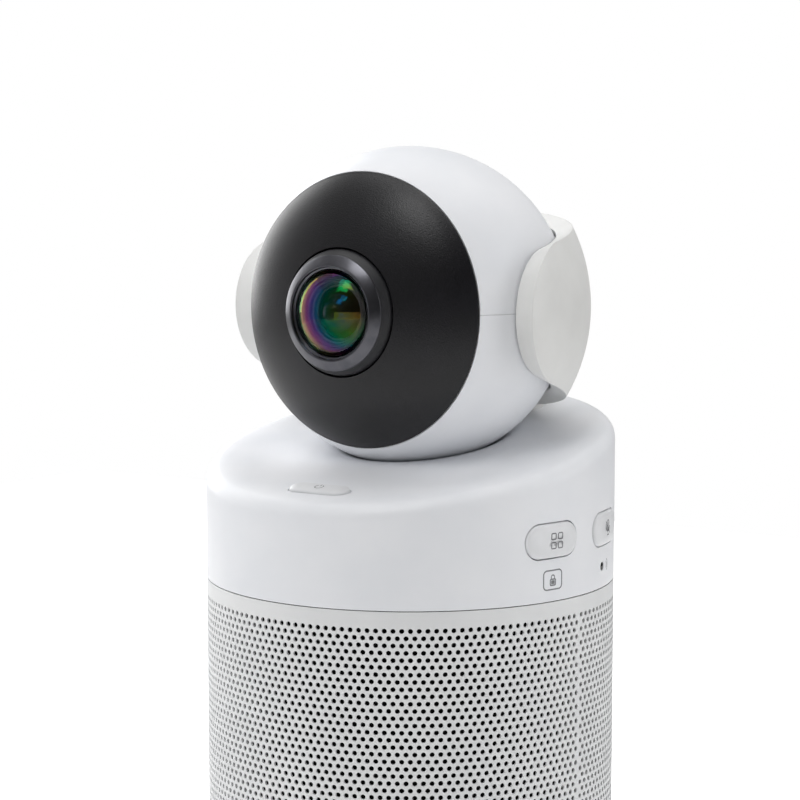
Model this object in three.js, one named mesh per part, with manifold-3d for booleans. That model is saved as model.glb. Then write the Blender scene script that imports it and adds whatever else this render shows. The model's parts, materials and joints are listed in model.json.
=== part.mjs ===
// Table-top conference camera: a speaker tower with a tilting ball camera held in a yoke.
// Millimetres, +Z up. The origin is the middle of the underside and the lens looks along -Y.
import * as THREE from "three";
import { mergeVertices } from "three/addons/utils/BufferGeometryUtils.js";
import Module from "manifold-3d";

const wasm = await Module();
wasm.setup();

// ---------------------------------------------------------------- driving dimensions
const gap = 0.3; // between pieces that touch
const overlap = 1; // how far a cutting tool runs past what it cuts
const facetsLarge = 40; // facets round the tower
const facetsMedium = 24; // round the lens, speaker and boards
const facetsSmall = 10; // round pins and screws
const endSteps = 6; // steps in the round end of a button

const towerRadius = 45;
const seamHeight = 145; // joint between grille and top housing
const topRise = 29.4; // from that joint to the slanted top, on the axis
const topSlope = THREE.MathUtils.degToRad(11);
const rimRadius = 3; // rounded edge of the slanted top
const housingWall = 2.2;

const ballRadius = 35;
const ballWall = 2;
const ballSink = 5.4; // how deep the ball stands below the slanted top, on the axis
const dishClearance = 1; // between the ball and the dish below it
const coverHalfAngle = THREE.MathUtils.degToRad(57.1); // edge of the front cover, from the lens axis

const yokeClearance = 0.7;
const yokeWall = 3.8;
const lobeRadius = 13.8; // round end of each yoke arm, seen from the side
const lobeBack = 2.3; // how far behind the pivot the middle of that round end is
const lobeDrop = 0.3;
const armFlareTop = THREE.MathUtils.degToRad(10.2);
const armFlareBottom = THREE.MathUtils.degToRad(15.5);
const neckWidth = 30;
const neckDepth = 12;
const neckInset = 1.5; // from the outer face of the yoke to the neck
const neckWallSide = 6;
const neckWallBack = 3;
const bracketLift = 4; // from the joint to the top of the bracket's foot
const bracketFoot = 3;
const bracketFootMargin = 8;

const pinRadius = 3;
const bushWall = 1.3;
const bushLength = 2;
const bushCover = 1.6; // wall of the yoke left outside a bush

const footHeight = 2.1;
const footInset = 5.9; // from the tower's side to the foot
const footWidth = 9.2;
const baseBottom = 1;
const baseFloor = 4; // thickness of the base plate's floor
const baseTop = 8;
const baseChamfer = 2;
const insertRadius = 6.2;
const insertBore = 2.6; // minor radius of a 1/4 inch tripod thread
const insertLength = 8.8;
const insertCap = 1.5; // closed end of its thread
const screwRadius = 1.4;
const screwHeadRadius = 2.6;
const screwHeadHeight = 2;
const baseScrews = 3;
const baseScrewInset = 5.9; // from the foot to the middle of a screw
const baseScrewLength = 9.5;

const grilleWall = 0.8;
const clothWall = 0.5;
const chassisWall = 2.4;
const chassisFloor = 2.5;
const chassisDrop = 7; // from the joint down to the top of the chassis
const weightHeight = 5;
const weightInset = 3.7; // from the chassis to the base weight
const weightInner = 16;

const speakerRadius = 22.5;
const speakerFlange = 1.3;
const speakerRim = 3.2; // width of the basket's flat rim
const speakerThroat = 11; // radius at the back of the basket
const speakerDepth = 13;
const basketWall = 0.9;
const rollWidth = 4.6; // half-round rubber edge of the cone
const rollHeight = 1.4;
const rollEdge = 0.5;
const coneWall = 0.6;
const coneDepth = 7;
const dustCapRadius = 5;
const dustCapRise = 2;
const dustCapWall = 1.3;
const baffleMargin = 2.5; // of a baffle beside its speaker
const baffleLift = 15.5; // from the socket panel up to the baffles
const baffleDrop = 5; // from the bulkhead down to the baffles
const baffleThickness = 2.5;
const magnetRadius = 16;
const magnetDepth = 9;
const radiatorPlate = 13.5;
const radiatorRim = 3;
const radiatorSkin = 0.8; // thickness of its rubber edge

const bulkheadDrop = 33; // from the joint down to the bulkhead
const bulkheadThickness = 2.5;
const boardThickness = 1.6;
const mainBoardDrop = 25; // from the joint down to the main board
const microphoneRing = 8; // width of the ring board that carries the microphones
const shieldSize = 22;
const shieldHeight = 2.6;
const sinkHeight = 8;
const sinkFins = 6;
const finThickness = 1.4;

const portHeight = 22;
const portPanelWidth = 38;
const portPanelTall = 15;
const usbWidth = 9;
const usbTall = 3.3;
const usbDepth = 7;
const usbWall = 0.4;
const usbFloor = 1;
const usbOffset = -7;
const inletWidth = 9;
const inletTall = 10;
const inletDepth = 9;
const inletOffset = 8;
const inletBore = 2.85;
const inletFloor = 1.5;
const inletPin = 1;
const socketSetback = 1; // how deep the sockets sit behind the panel's face
const socketWindow = 2; // how much smaller than the panel its opening in the chassis is
const socketBoardMargin = 1.5;

const buttonWidth = 14.6;
const buttonTall = 7.2;
const buttonProud = 0.6;
const buttonRise = 12.7; // above the joint
const buttonTravel = 0.8;
const buttonFlange = 1; // how far a button's hidden flange stands out round it
const buttonFlangeThickness = 0.8;
const modeAzimuth = THREE.MathUtils.degToRad(74.2);
const muteAzimuth = THREE.MathUtils.degToRad(101.3);
const switchThickness = 1.5;
const switchSize = 6;
const lampRadius = 0.9;
const lampAzimuth = THREE.MathUtils.degToRad(98.7);
const lampRise = 4.6;
const powerWidth = 14.5;
const powerTall = 5.4;
const powerProud = 0.5;
const powerInset = 9; // from the front of the tower to the middle of the power button
const powerBoardMargin = 2;

const grooveRadius = 13.6; // where the cover ends and the lens trim begins
const grooveSink = 7.7; // how far that is behind the front of the ball
const coverBulgeIn = 4.74; // from the cover's edge to the control point of its profile
const coverBulgeUp = 5.33;
const coverWall = 1.7;
const coverEdgeWall = 1;
const bezelBevel = 1.4; // how much narrower the trim is at its front
const bezelWidth = 3;
const bezelSink = 4.2;
const bezelSkirt = 1.5; // how far the trim reaches in behind the groove
const bezelLip = 0.4; // small chamfers of the trim
const barrelWall = 1.6;
const barrelRear = 10; // from the middle of the ball
const barrelClearance = 0.2;
const glassSink = 1;
const glassSeat = 1.2; // how deep the edge of the front glass sits in the trim
const glassThickness = 2.2;
const glassHollow = 0.86; // radius of the hollow side beside that of the front
const rearGlassLift = 8; // from the rear end of the barrel
const rearGlassEdge = 1.5;
const rearGlassRise = 2.4;
const sensorBoardSize = 24;
const sensorSize = 9;
const sensorThickness = 1.2;
const sensorSetback = 2; // from the rear end of the barrel to its board
const frameInset = 9; // from the ball's surface to the head frame
const frameRingWall = 5;
const frameThickness = 3;
const lugThickness = 3;
const lugWall = 2; // round the hole for the pin
const nutWall = 2.2;
const nutThickness = 2.4;
const pinRoot = 2.5; // how far a pin reaches in past its lug

// ---------------------------------------------------------------- places worked out from those
const topHeight = seamHeight + topRise;
const ballHeight = topHeight + ballRadius - ballSink;
const coverEdgeHeight = ballRadius * Math.cos(coverHalfAngle);
const coverEdgeRadius = ballRadius * Math.sin(coverHalfAngle);
const housingInner = towerRadius - housingWall;
const clothOuter = towerRadius - grilleWall - gap;
const chassisOuter = clothOuter - clothWall - gap;
const chassisInner = chassisOuter - chassisWall;
const chassisBottom = baseTop + gap;
const chassisTop = seamHeight - chassisDrop;
const footOuter = towerRadius - footInset;
const footInner = footOuter - footWidth;
const baseScrewCircle = footInner - baseScrewInset;
const bulkheadHeight = seamHeight - bulkheadDrop;
const baffleWidth = 2 * (speakerRadius + baffleMargin);
const baffleLow = portHeight + portPanelTall / 2 + baffleLift;
const baffleHigh = bulkheadHeight - baffleDrop;
const baffleCorner = chassisInner * Math.cos(Math.PI / facetsMedium) - gap; // inside the faceted chassis
const baffleFace = Math.sqrt(baffleCorner ** 2 - (baffleWidth / 2) ** 2); // from the axis
const speakerHeight = (baffleLow + baffleHigh) / 2;
const yokeInner = ballRadius + yokeClearance;
const yokeOuter = yokeInner + yokeWall;
const ballCentre = new THREE.Vector3(0, 0, ballHeight);
const inletFace = chassisOuter - gap - 2 * socketSetback;
const socketBoardFace = inletFace - inletDepth - gap;
const socketRoom = socketBoardFace - boardThickness - gap; // nothing else stands behind this
const neckPlace = yokeOuter - neckDepth / 2 - neckInset;
const bracketWidth = neckWidth - 2 * neckWallSide;
const bracketDepth = neckDepth - 2 * neckWallBack;
const bushReach = yokeOuter - bushCover;
const frameRing = ballRadius - frameInset;
const bezelOuter = grooveRadius - bezelBevel;
const bezelInner = bezelOuter - bezelWidth;
const bezelTop = ballRadius - bezelSink;
const grooveHeight = ballRadius - grooveSink;

// ---------------------------------------------------------------- shaping helpers
function solidOf(geometry) {
  const bare = geometry.clone();
  bare.deleteAttribute("normal");
  bare.deleteAttribute("uv");
  const merged = mergeVertices(bare, 1e-3);
  const mesh = new wasm.Mesh({
    numProp: 3,
    vertProperties: new Float32Array(merged.getAttribute("position").array),
    triVerts: new Uint32Array(merged.index.array),
  });
  return new wasm.Manifold(mesh);
}

function geometryOf(solid) {
  const mesh = solid.getMesh();
  const geometry = new THREE.BufferGeometry();
  geometry.setAttribute("position", new THREE.BufferAttribute(mesh.vertProperties, 3));
  geometry.setIndex(new THREE.BufferAttribute(mesh.triVerts, 1));
  return geometry;
}

function cut(geometry, ...tools) {
  const left = tools.reduce((solid, tool) => solid.subtract(solidOf(tool)), solidOf(geometry));
  return geometryOf(left);
}

function join(geometry, ...others) {
  return geometryOf(others.reduce((solid, other) => solid.add(solidOf(other)), solidOf(geometry)));
}

function common(geometry, other) {
  return geometryOf(solidOf(geometry).intersect(solidOf(other)));
}

// A profile of [radius, height] pairs turned round Z. It runs anticlockwise and closes on itself,
// unless it starts and ends on the axis.
function turned(profile, facets) {
  const points = profile.map(([radius, height]) => new THREE.Vector2(radius, height));
  const first = points[0];
  const last = points[points.length - 1];
  if (first.x > 0 || last.x > 0) points.push(first.clone());
  return new THREE.LatheGeometry(points, facets).rotateX(Math.PI / 2);
}

function ring(inner, outer, low, high, facets) {
  return turned([[inner, low], [outer, low], [outer, high], [inner, high]], facets);
}

function disc(radius, low, high, facets) {
  return turned([[0, low], [radius, low], [radius, high], [0, high]], facets);
}

function block(width, depth, height, x = 0, y = 0, z = 0) {
  return new THREE.BoxGeometry(width, depth, height).translate(x, y, z);
}

function ball(radius, facets) {
  return new THREE.SphereGeometry(radius, facets, facets / 2).rotateX(Math.PI / 2);
}

// A bar with round ends in the XZ plane, as thick as from near to far along +Y.
function pill(width, tall, near, far) {
  const end = tall / 2;
  const run = width / 2 - end;
  const outline = new THREE.Shape();
  outline.moveTo(-run, -end);
  outline.lineTo(run, -end);
  outline.absarc(run, 0, end, -Math.PI / 2, Math.PI / 2);
  outline.lineTo(-run, end);
  outline.absarc(-run, 0, end, Math.PI / 2, (3 * Math.PI) / 2);
  const drawn = { depth: far - near, bevelEnabled: false, curveSegments: endSteps };
  return new THREE.ExtrudeGeometry(outline, drawn).rotateX(Math.PI / 2).translate(0, far, 0);
}

// Turns a shape that was made round Z so that its axis points to the front, along -Y.
function facingFront(geometry) {
  return geometry.rotateX(Math.PI / 2);
}

function towardsAzimuth(geometry, azimuth) {
  return geometry.rotateZ(azimuth);
}

// ---------------------------------------------------------------- the assembly
const assembly = new THREE.Group();
const finishes = {
  white: { color: 0xe9eaec, roughness: 0.45, metalness: 0 },
  offWhite: { color: 0xdcdddc, roughness: 0.5, metalness: 0 },
  black: { color: 0x2b2a2e, roughness: 0.55, metalness: 0 },
  darkGrey: { color: 0x3a3b3f, roughness: 0.5, metalness: 0 },
  rubber: { color: 0x1c1c1d, roughness: 0.9, metalness: 0 },
  cloth: { color: 0x141415, roughness: 1, metalness: 0 },
  steel: { color: 0xb6b8ba, roughness: 0.35, metalness: 1 },
  aluminium: { color: 0xc9cbcd, roughness: 0.4, metalness: 1 },
  brass: { color: 0xc7a253, roughness: 0.35, metalness: 1 },
  board: { color: 0x1f5a34, roughness: 0.5, metalness: 0 },
  ferrite: { color: 0x2e2e30, roughness: 0.6, metalness: 0.3 },
  paper: { color: 0x26262a, roughness: 0.9, metalness: 0 },
  glass: { color: 0x1a1626, roughness: 0.05, metalness: 0 },
};

function add(name, finish, geometry, position = new THREE.Vector3()) {
  const material = new THREE.MeshStandardMaterial(finishes[finish]);
  const mesh = new THREE.Mesh(geometry, material);
  mesh.name = name;
  mesh.position.copy(position);
  assembly.add(mesh);
}

// ---------------------------------------------------------------- base
function screw(length) {
  return turned(
    [
      [0, 0],
      [screwHeadRadius, 0],
      [screwHeadRadius, screwHeadHeight],
      [screwRadius, screwHeadHeight],
      [screwRadius, length],
      [0, length],
    ],
    facetsSmall,
  );
}

function addBase() {
  const footSeat = footHeight + gap;
  const screwSeat = baseBottom + screwHeadHeight + 2 * gap;
  const plate = turned(
    [
      [insertRadius + gap, baseBottom],
      [footInner - gap, baseBottom],
      [footInner - gap, footSeat],
      [footOuter + gap, footSeat],
      [footOuter + gap, baseBottom],
      [towerRadius - baseChamfer, baseBottom],
      [towerRadius, baseBottom + baseChamfer],
      [towerRadius, baseTop],
      [chassisInner, baseTop],
      [chassisInner, baseBottom + baseFloor],
      [insertRadius + gap, baseBottom + baseFloor],
    ],
    facetsLarge,
  );
  const holes = [];
  for (let i = 0; i < baseScrews; i += 1) {
    const angle = (i * 2 * Math.PI) / baseScrews;
    const place = new THREE.Vector3(baseScrewCircle, 0, 0).applyAxisAngle(new THREE.Vector3(0, 0, 1), angle);
    const shankHole = disc(screwRadius + gap, 0, baseTop, facetsSmall);
    const headHole = disc(screwHeadRadius + gap, 0, screwSeat, facetsSmall);
    holes.push(shankHole.translate(place.x, place.y, 0));
    holes.push(headHole.translate(place.x, place.y, 0));
    place.z = baseBottom + gap;
    add(`base_screw_${i + 1}`, "steel", screw(baseScrewLength), place);
  }
  add("foot_ring", "rubber", ring(footInner, footOuter, 0, footHeight, facetsLarge));
  add("base_plate", "darkGrey", cut(plate, ...holes));

  const insertBottom = baseBottom + gap;
  const insertTop = insertBottom + insertLength;
  const insert = turned(
    [
      [insertBore, insertBottom],
      [insertRadius, insertBottom],
      [insertRadius, insertTop],
      [0, insertTop],
      [0, insertTop - insertCap],
      [insertBore, insertTop - insertCap],
    ],
    facetsMedium,
  );
  add("tripod_insert", "brass", insert);
}

// ---------------------------------------------------------------- tower body
function portWindow(margin) {
  const far = towerRadius + overlap;
  const reach = far - socketRoom;
  const wide = portPanelWidth + 2 * margin;
  const tall = portPanelTall + 2 * margin;
  return block(wide, reach, tall, 0, far - reach / 2, portHeight);
}

function soundHole(radius) {
  return facingFront(disc(radius, 0, towerRadius + overlap, facetsMedium)).translate(0, 0, speakerHeight);
}

function addChassis() {
  const tube = turned(
    [
      [insertRadius + 2 * gap, chassisBottom],
      [chassisOuter, chassisBottom],
      [chassisOuter, chassisTop],
      [chassisInner, chassisTop],
      [chassisInner, chassisBottom + chassisFloor],
      [insertRadius + 2 * gap, chassisBottom + chassisFloor],
    ],
    facetsMedium,
  );
  const screwHoles = Array.from({ length: baseScrews }, (_, i) => {
    const hole = disc(screwRadius + gap, 0, chassisBottom + 2 * chassisFloor, facetsSmall);
    return hole.translate(baseScrewCircle, 0, 0).rotateZ((i * 2 * Math.PI) / baseScrews);
  });
  const front = soundHole(speakerRadius + gap);
  const rear = soundHole(speakerRadius + gap).rotateZ(Math.PI);
  add("chassis_tube", "darkGrey", cut(tube, front, rear, portWindow(-socketWindow), ...screwHoles));

  const weightBottom = chassisBottom + chassisFloor + gap;
  const weightOuter = chassisInner - weightInset;
  const weight = ring(weightInner, weightOuter, weightBottom, weightBottom + weightHeight, facetsMedium);
  const clearOfSockets = portWindow(-gap);
  const screwWells = screwHoles.map((hole) => hole.clone().translate(0, 0, baseTop));
  add("base_weight", "steel", cut(weight, clearOfSockets, ...screwWells));
}

function addGrille() {
  const low = baseTop + gap;
  const high = seamHeight - gap;
  const sheet = ring(towerRadius - grilleWall, towerRadius, low, high, facetsLarge);
  add("grille_tube", "white", cut(sheet, portWindow(gap)));
  const cloth = ring(clothOuter - clothWall, clothOuter, low, chassisTop, facetsMedium);
  add("grille_cloth", "cloth", cut(cloth, portWindow(gap)));
}

// ---------------------------------------------------------------- loudspeaker
function baffle() {
  const middle = -baffleFace + baffleThickness / 2;
  const plate = block(baffleWidth, baffleThickness, baffleHigh - baffleLow, 0, middle, speakerHeight);
  return cut(plate, soundHole(speakerRadius - baffleMargin));
}

function addSpeaker() {
  const seat = baffleFace + gap;
  const face = seat + speakerFlange;
  const mouth = speakerRadius - speakerRim;
  const back = baffleFace - speakerDepth;
  const terminals = speakerThroat - speakerRim;
  const basket = turned(
    [
      [mouth - basketWall - gap, face],
      [speakerThroat, back + basketWall],
      [terminals, back + basketWall],
      [terminals, back],
      [speakerThroat + basketWall, back],
      [mouth, seat],
      [speakerRadius, seat],
      [speakerRadius, face],
    ],
    facetsMedium,
  );
  const rollSteps = 4;
  const rollBottom = face + gap;
  const roll = [[mouth - rollWidth, rollBottom], [mouth, rollBottom]];
  for (let i = 0; i <= rollSteps; i += 1) {
    const angle = (i / rollSteps) * Math.PI;
    const radius = mouth - (rollWidth / 2) * (1 - Math.cos(angle));
    roll.push([radius, rollBottom + rollEdge + rollHeight * Math.sin(angle)]);
  }
  const coneEdge = mouth - rollWidth - gap;
  const coneRoot = rollBottom - coneDepth;
  const capMiddle = dustCapRadius / 2;
  const capHeight = (radius) => coneRoot + dustCapRise * (1 - (radius / dustCapRadius) ** 2);
  const cone = turned(
    [
      [0, capHeight(0)],
      [capMiddle, capHeight(capMiddle)],
      [dustCapRadius, coneRoot],
      [coneEdge, rollBottom],
      [coneEdge, rollBottom + coneWall],
      [dustCapRadius, coneRoot + dustCapWall],
      [capMiddle, capHeight(capMiddle) + dustCapWall],
      [0, capHeight(0) + dustCapWall],
    ],
    facetsMedium,
  );
  const magnet = disc(magnetRadius, back - gap - magnetDepth, back - gap, facetsMedium);
  const lift = new THREE.Vector3(0, 0, speakerHeight);
  add("front_baffle", "darkGrey", baffle());
  add("speaker_basket", "steel", facingFront(basket), lift);
  add("speaker_surround", "rubber", facingFront(turned(roll, facetsMedium)), lift);
  add("speaker_cone", "paper", facingFront(cone), lift);
  add("speaker_magnet", "ferrite", facingFront(magnet), lift);

  const rimInner = speakerRadius - radiatorRim;
  const frame = ring(rimInner, speakerRadius, seat, face, facetsMedium);
  const skin = ring(radiatorPlate + gap, rimInner - gap, seat, seat + radiatorSkin, facetsMedium);
  const plate = disc(radiatorPlate, baffleFace, face, facetsMedium);
  add("rear_baffle", "darkGrey", baffle().rotateZ(Math.PI));
  add("radiator_frame", "steel", facingFront(frame).rotateZ(Math.PI), lift);
  add("radiator_surround", "rubber", facingFront(skin).rotateZ(Math.PI), lift);
  add("radiator_plate", "paper", facingFront(plate).rotateZ(Math.PI), lift);
}

// ---------------------------------------------------------------- boards
function addBoards() {
  const bulkheadRadius = chassisInner - gap;
  const bulkhead = disc(bulkheadRadius, bulkheadHeight, bulkheadHeight + bulkheadThickness, facetsMedium);
  const boardBottom = seamHeight - mainBoardDrop;
  const boardTop = boardBottom + boardThickness;
  const shieldBottom = boardTop + gap;
  const sinkBottom = shieldBottom + shieldHeight + gap;
  const finBottom = sinkBottom + finThickness;
  const fins = [];
  for (let i = 0; i < sinkFins; i += 1) {
    const x = (i / (sinkFins - 1) - 0.5) * (shieldSize - finThickness);
    const finMiddle = finBottom + (sinkHeight - finThickness) / 2 - gap / 2;
    fins.push(block(finThickness, shieldSize, sinkHeight - finThickness + gap, x, 0, finMiddle));
  }
  const sinkPlate = block(shieldSize, shieldSize, finThickness, 0, 0, sinkBottom + finThickness / 2);
  const shield = block(shieldSize, shieldSize, shieldHeight, 0, 0, shieldBottom + shieldHeight / 2);
  add("bulkhead", "darkGrey", bulkhead);
  add("main_board", "board", disc(chassisInner - gap, boardBottom, boardTop, facetsMedium));
  add("processor_shield", "steel", shield);
  add("heat_sink", "aluminium", join(sinkPlate, ...fins));
  const ringBottom = chassisTop + gap;
  const ringTop = ringBottom + boardThickness;
  const ringInner = chassisOuter - microphoneRing;
  add("microphone_board", "board", ring(ringInner, chassisOuter, ringBottom, ringTop, facetsMedium));
}

// ---------------------------------------------------------------- rear sockets
function addPorts() {
  const shell = ring(chassisOuter + gap, towerRadius, 0, seamHeight, facetsLarge);
  const panel = common(shell, block(portPanelWidth, towerRadius, portPanelTall, 0, towerRadius, portHeight));
  const mouthWide = usbWidth + 2 * gap;
  const mouthTall = usbTall + 2 * gap;
  const usbMouth = block(mouthWide, 3 * towerRadius, mouthTall, usbOffset, towerRadius, portHeight);
  const inletMouth = disc(inletBore + gap, 0, 2 * towerRadius, facetsSmall);
  const inletHole = facingFront(inletMouth).rotateZ(Math.PI).translate(inletOffset, 0, portHeight);
  add("port_panel", "darkGrey", cut(panel, usbMouth, inletHole));

  const usbFace = towerRadius - 2 * socketSetback;
  const usbBody = pill(usbWidth, usbTall, usbFace - usbDepth, usbFace);
  const usbBack = usbFace - usbDepth + usbFloor;
  const usbHollow = pill(usbWidth - 2 * usbWall, usbTall - 2 * usbWall, usbBack, usbFace + overlap);
  const usbPlace = new THREE.Vector3(usbOffset, 0, portHeight);
  add("usb_c_port", "steel", cut(usbBody, usbHollow), usbPlace);

  const inletBody = block(inletWidth, inletDepth, inletTall, 0, inletFace - inletDepth / 2, 0);
  const inletBack = inletFace - inletDepth + inletFloor;
  const inletWell = disc(inletBore, inletBack, inletFace + overlap, facetsSmall);
  const inletPlace = new THREE.Vector3(inletOffset, 0, portHeight);
  const pin = disc(inletPin, inletBack + gap, inletFace - socketSetback, facetsSmall);
  add("dc_inlet", "black", cut(inletBody, facingFront(inletWell).rotateZ(Math.PI)), inletPlace);
  add("dc_inlet_pin", "steel", facingFront(pin).rotateZ(Math.PI), inletPlace);

  const boardMiddle = socketBoardFace - boardThickness / 2;
  const boardWide = portPanelWidth - 2 * socketBoardMargin;
  const boardTall = portPanelTall - 2 * socketBoardMargin;
  add("socket_board", "board", block(boardWide, boardThickness, boardTall, 0, boardMiddle, portHeight));
}

// ---------------------------------------------------------------- top housing
// A disc whose upper part is sheared so that its top follows the slanted plane.
function slantedDisc(radius, low, offset, edge) {
  const high = topHeight - offset;
  const steps = 4;
  const profile = [[0, low], [radius, low]];
  for (let i = 0; i <= steps; i += 1) {
    const angle = (i / steps) * (Math.PI / 2);
    profile.push([radius - edge + edge * Math.cos(angle), high - edge + edge * Math.sin(angle)]);
  }
  profile.push([0, high]);
  const shape = turned(profile, facetsLarge);
  const position = shape.getAttribute("position");
  for (let i = 0; i < position.count; i += 1) {
    const lift = position.getZ(i) > low + 1 ? Math.tan(topSlope) * position.getY(i) : 0;
    position.setZ(i, position.getZ(i) + lift);
  }
  return shape;
}

// A button's hole or body: a pill that points outwards at an azimuth.
function sidePill(width, tall, near, far, azimuth) {
  const bar = pill(width, tall, -far, -near).translate(0, 0, seamHeight + buttonRise);
  return towardsAzimuth(bar, azimuth);
}

// Puts a shape made round the origin, lying in the XZ plane and facing +Y, onto the slanted top.
function onSlantedTop(geometry) {
  const distance = towerRadius - powerInset;
  const seatHeight = topHeight - distance * Math.tan(topSlope);
  return geometry.rotateX(Math.PI / 2 + topSlope).translate(0, -distance, seatHeight);
}

function neckShaft(low, high) {
  const end = neckDepth / 2;
  const half = neckWidth / 2 - end;
  const outline = new THREE.Shape();
  outline.moveTo(-half, -end);
  outline.lineTo(half, -end);
  outline.absarc(half, 0, end, -Math.PI / 2, Math.PI / 2);
  outline.lineTo(-half, end);
  outline.absarc(-half, 0, end, Math.PI / 2, (3 * Math.PI) / 2);
  const drawn = { depth: high - low, bevelEnabled: false, curveSegments: endSteps };
  return new THREE.ExtrudeGeometry(outline, drawn).translate(0, neckPlace, low);
}

function addTopHousing() {
  const outer = slantedDisc(towerRadius, seamHeight, 0, rimRadius);
  const dishRadius = ballRadius + dishClearance;
  const cupRadius = dishRadius + housingWall;
  const dish = ball(dishRadius, facetsLarge).translate(0, 0, ballHeight);
  const cup = ball(cupRadius, facetsMedium).translate(0, 0, ballHeight);
  const room = slantedDisc(housingInner, seamHeight - overlap, housingWall, overlap);
  const hollow = cut(room, cup);
  const wallNear = housingInner - overlap;
  const wallFar = towerRadius + overlap;
  const sideHoles = [modeAzimuth, muteAzimuth].map((azimuth) =>
    sidePill(buttonWidth + 2 * gap, buttonTall + 2 * gap, wallNear, wallFar, azimuth),
  );
  const powerTool = pill(powerWidth + 2 * gap, powerTall + 2 * gap, -2 * housingWall, 2 * overlap);
  const powerHole = onSlantedTop(powerTool);
  const lampHole = facingFront(disc(lampRadius + gap, wallNear, wallFar, facetsSmall));
  towardsAzimuth(lampHole.translate(0, 0, seamHeight + lampRise), lampAzimuth);
  const bracketHole = block(bracketWidth + 2 * gap, bracketDepth + 2 * gap, topRise, 0, neckPlace, topHeight);
  const shell = cut(outer, hollow, dish, ...sideHoles, powerHole, lampHole, bracketHole);
  add("top_housing", "white", shell);
}

function addButtons() {
  const flangeOuter = housingInner - 2 * gap;
  const flangeInner = flangeOuter - buttonFlangeThickness;
  const crown = towerRadius + buttonProud;
  const crownTube = ring(flangeInner, crown, seamHeight, topHeight, facetsLarge * 2);
  const flangeTube = ring(flangeInner, flangeOuter, seamHeight, topHeight, facetsLarge * 2);
  const places = { mode_button: modeAzimuth, mute_button: muteAzimuth };
  for (const [name, azimuth] of Object.entries(places)) {
    const wide = buttonWidth + 2 * buttonFlange;
    const tall = buttonTall + 2 * buttonFlange;
    const near = flangeInner - overlap;
    const far = crown + overlap;
    const stem = common(crownTube, sidePill(buttonWidth, buttonTall, near, far, azimuth));
    const flange = common(flangeTube, sidePill(wide, tall, near, far, azimuth));
    add(name, "offWhite", join(stem, flange));
  }
  const switchFace = flangeInner - buttonTravel - 3 * gap;
  const boardFace = switchFace - switchThickness - gap;
  for (const [name, azimuth] of [["mode_switch", modeAzimuth], ["mute_switch", muteAzimuth]]) {
    const depth = -switchFace + switchThickness / 2;
    const body = block(switchSize, switchThickness, switchSize, 0, depth, seamHeight + buttonRise);
    add(name, "steel", towardsAzimuth(body, azimuth));
  }
  const middle = (modeAzimuth + muteAzimuth) / 2;
  const spread = (muteAzimuth - modeAzimuth) / 2;
  const boardDistance = boardFace * Math.cos(spread) - (switchSize * Math.sin(spread)) / 2;
  const boardTall = buttonTall + 2 * buttonFlange;
  const boardPlace = -boardDistance + boardThickness / 2;
  const board = block(boardFace, boardThickness, boardTall, 0, boardPlace, seamHeight + buttonRise);
  add("side_button_board", "board", towardsAzimuth(board, middle));

  const lamp = facingFront(disc(lampRadius, housingInner - overlap, towerRadius - gap, facetsSmall));
  add("status_lamp", "glass", towardsAzimuth(lamp.translate(0, 0, seamHeight + lampRise), lampAzimuth));

  const powerFlangeTop = -housingWall - gap;
  const powerFlangeLow = powerFlangeTop - buttonFlangeThickness;
  const cap = pill(powerWidth, powerTall, powerFlangeLow, powerProud);
  const flangeWide = powerWidth + 2 * buttonFlange;
  const flangeTall = powerTall + 2 * buttonFlange;
  const capFlange = pill(flangeWide, flangeTall, powerFlangeLow, powerFlangeTop);
  add("power_button", "offWhite", onSlantedTop(join(cap, capFlange)));
  const switchTop = powerFlangeLow - buttonTravel - 2 * gap;
  const powerSwitch = block(switchSize, switchThickness, powerTall, 0, switchTop - switchThickness / 2, 0);
  const powerBoardTop = switchTop - switchThickness - gap;
  const powerBoardWide = powerWidth + 2 * powerBoardMargin;
  const powerBoardMiddle = powerBoardTop - boardThickness / 2;
  const powerBoard = block(powerBoardWide, boardThickness, flangeTall, 0, powerBoardMiddle, 0);
  add("power_switch", "steel", onSlantedTop(powerSwitch));
  add("power_button_board", "board", onSlantedTop(powerBoard));
}

// ---------------------------------------------------------------- yoke
// The yoke is a band of a hollow ball round the back of the camera. Its outline is drawn on the
// inner face, as distances forward of and above the pivot: a round lobe at the front of each
// arm, and two straight flanks that flare from it to the back.
const lobeTop = Math.PI / 2 - armFlareTop;
const lobeBottom = -Math.PI / 2 + armFlareBottom;

function lobePoint(angle) {
  const forward = -lobeBack + lobeRadius * Math.cos(angle);
  const up = -lobeDrop + lobeRadius * Math.sin(angle);
  return new THREE.Vector2(forward, up);
}

function flankHeight(azimuth, angle, flare) {
  const start = lobePoint(angle);
  const startAzimuth = Math.acos(start.x / Math.sqrt(yokeInner ** 2 - start.y ** 2));
  const turn = Math.max(azimuth, startAzimuth);
  let up = start.y;
  for (let i = 0; i < 12; i += 1) {
    const forward = Math.sqrt(yokeInner ** 2 - up ** 2) * Math.cos(turn);
    up = start.y + Math.sign(start.y) * Math.tan(flare) * (start.x - forward);
  }
  return Math.asin(up / yokeInner);
}

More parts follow.
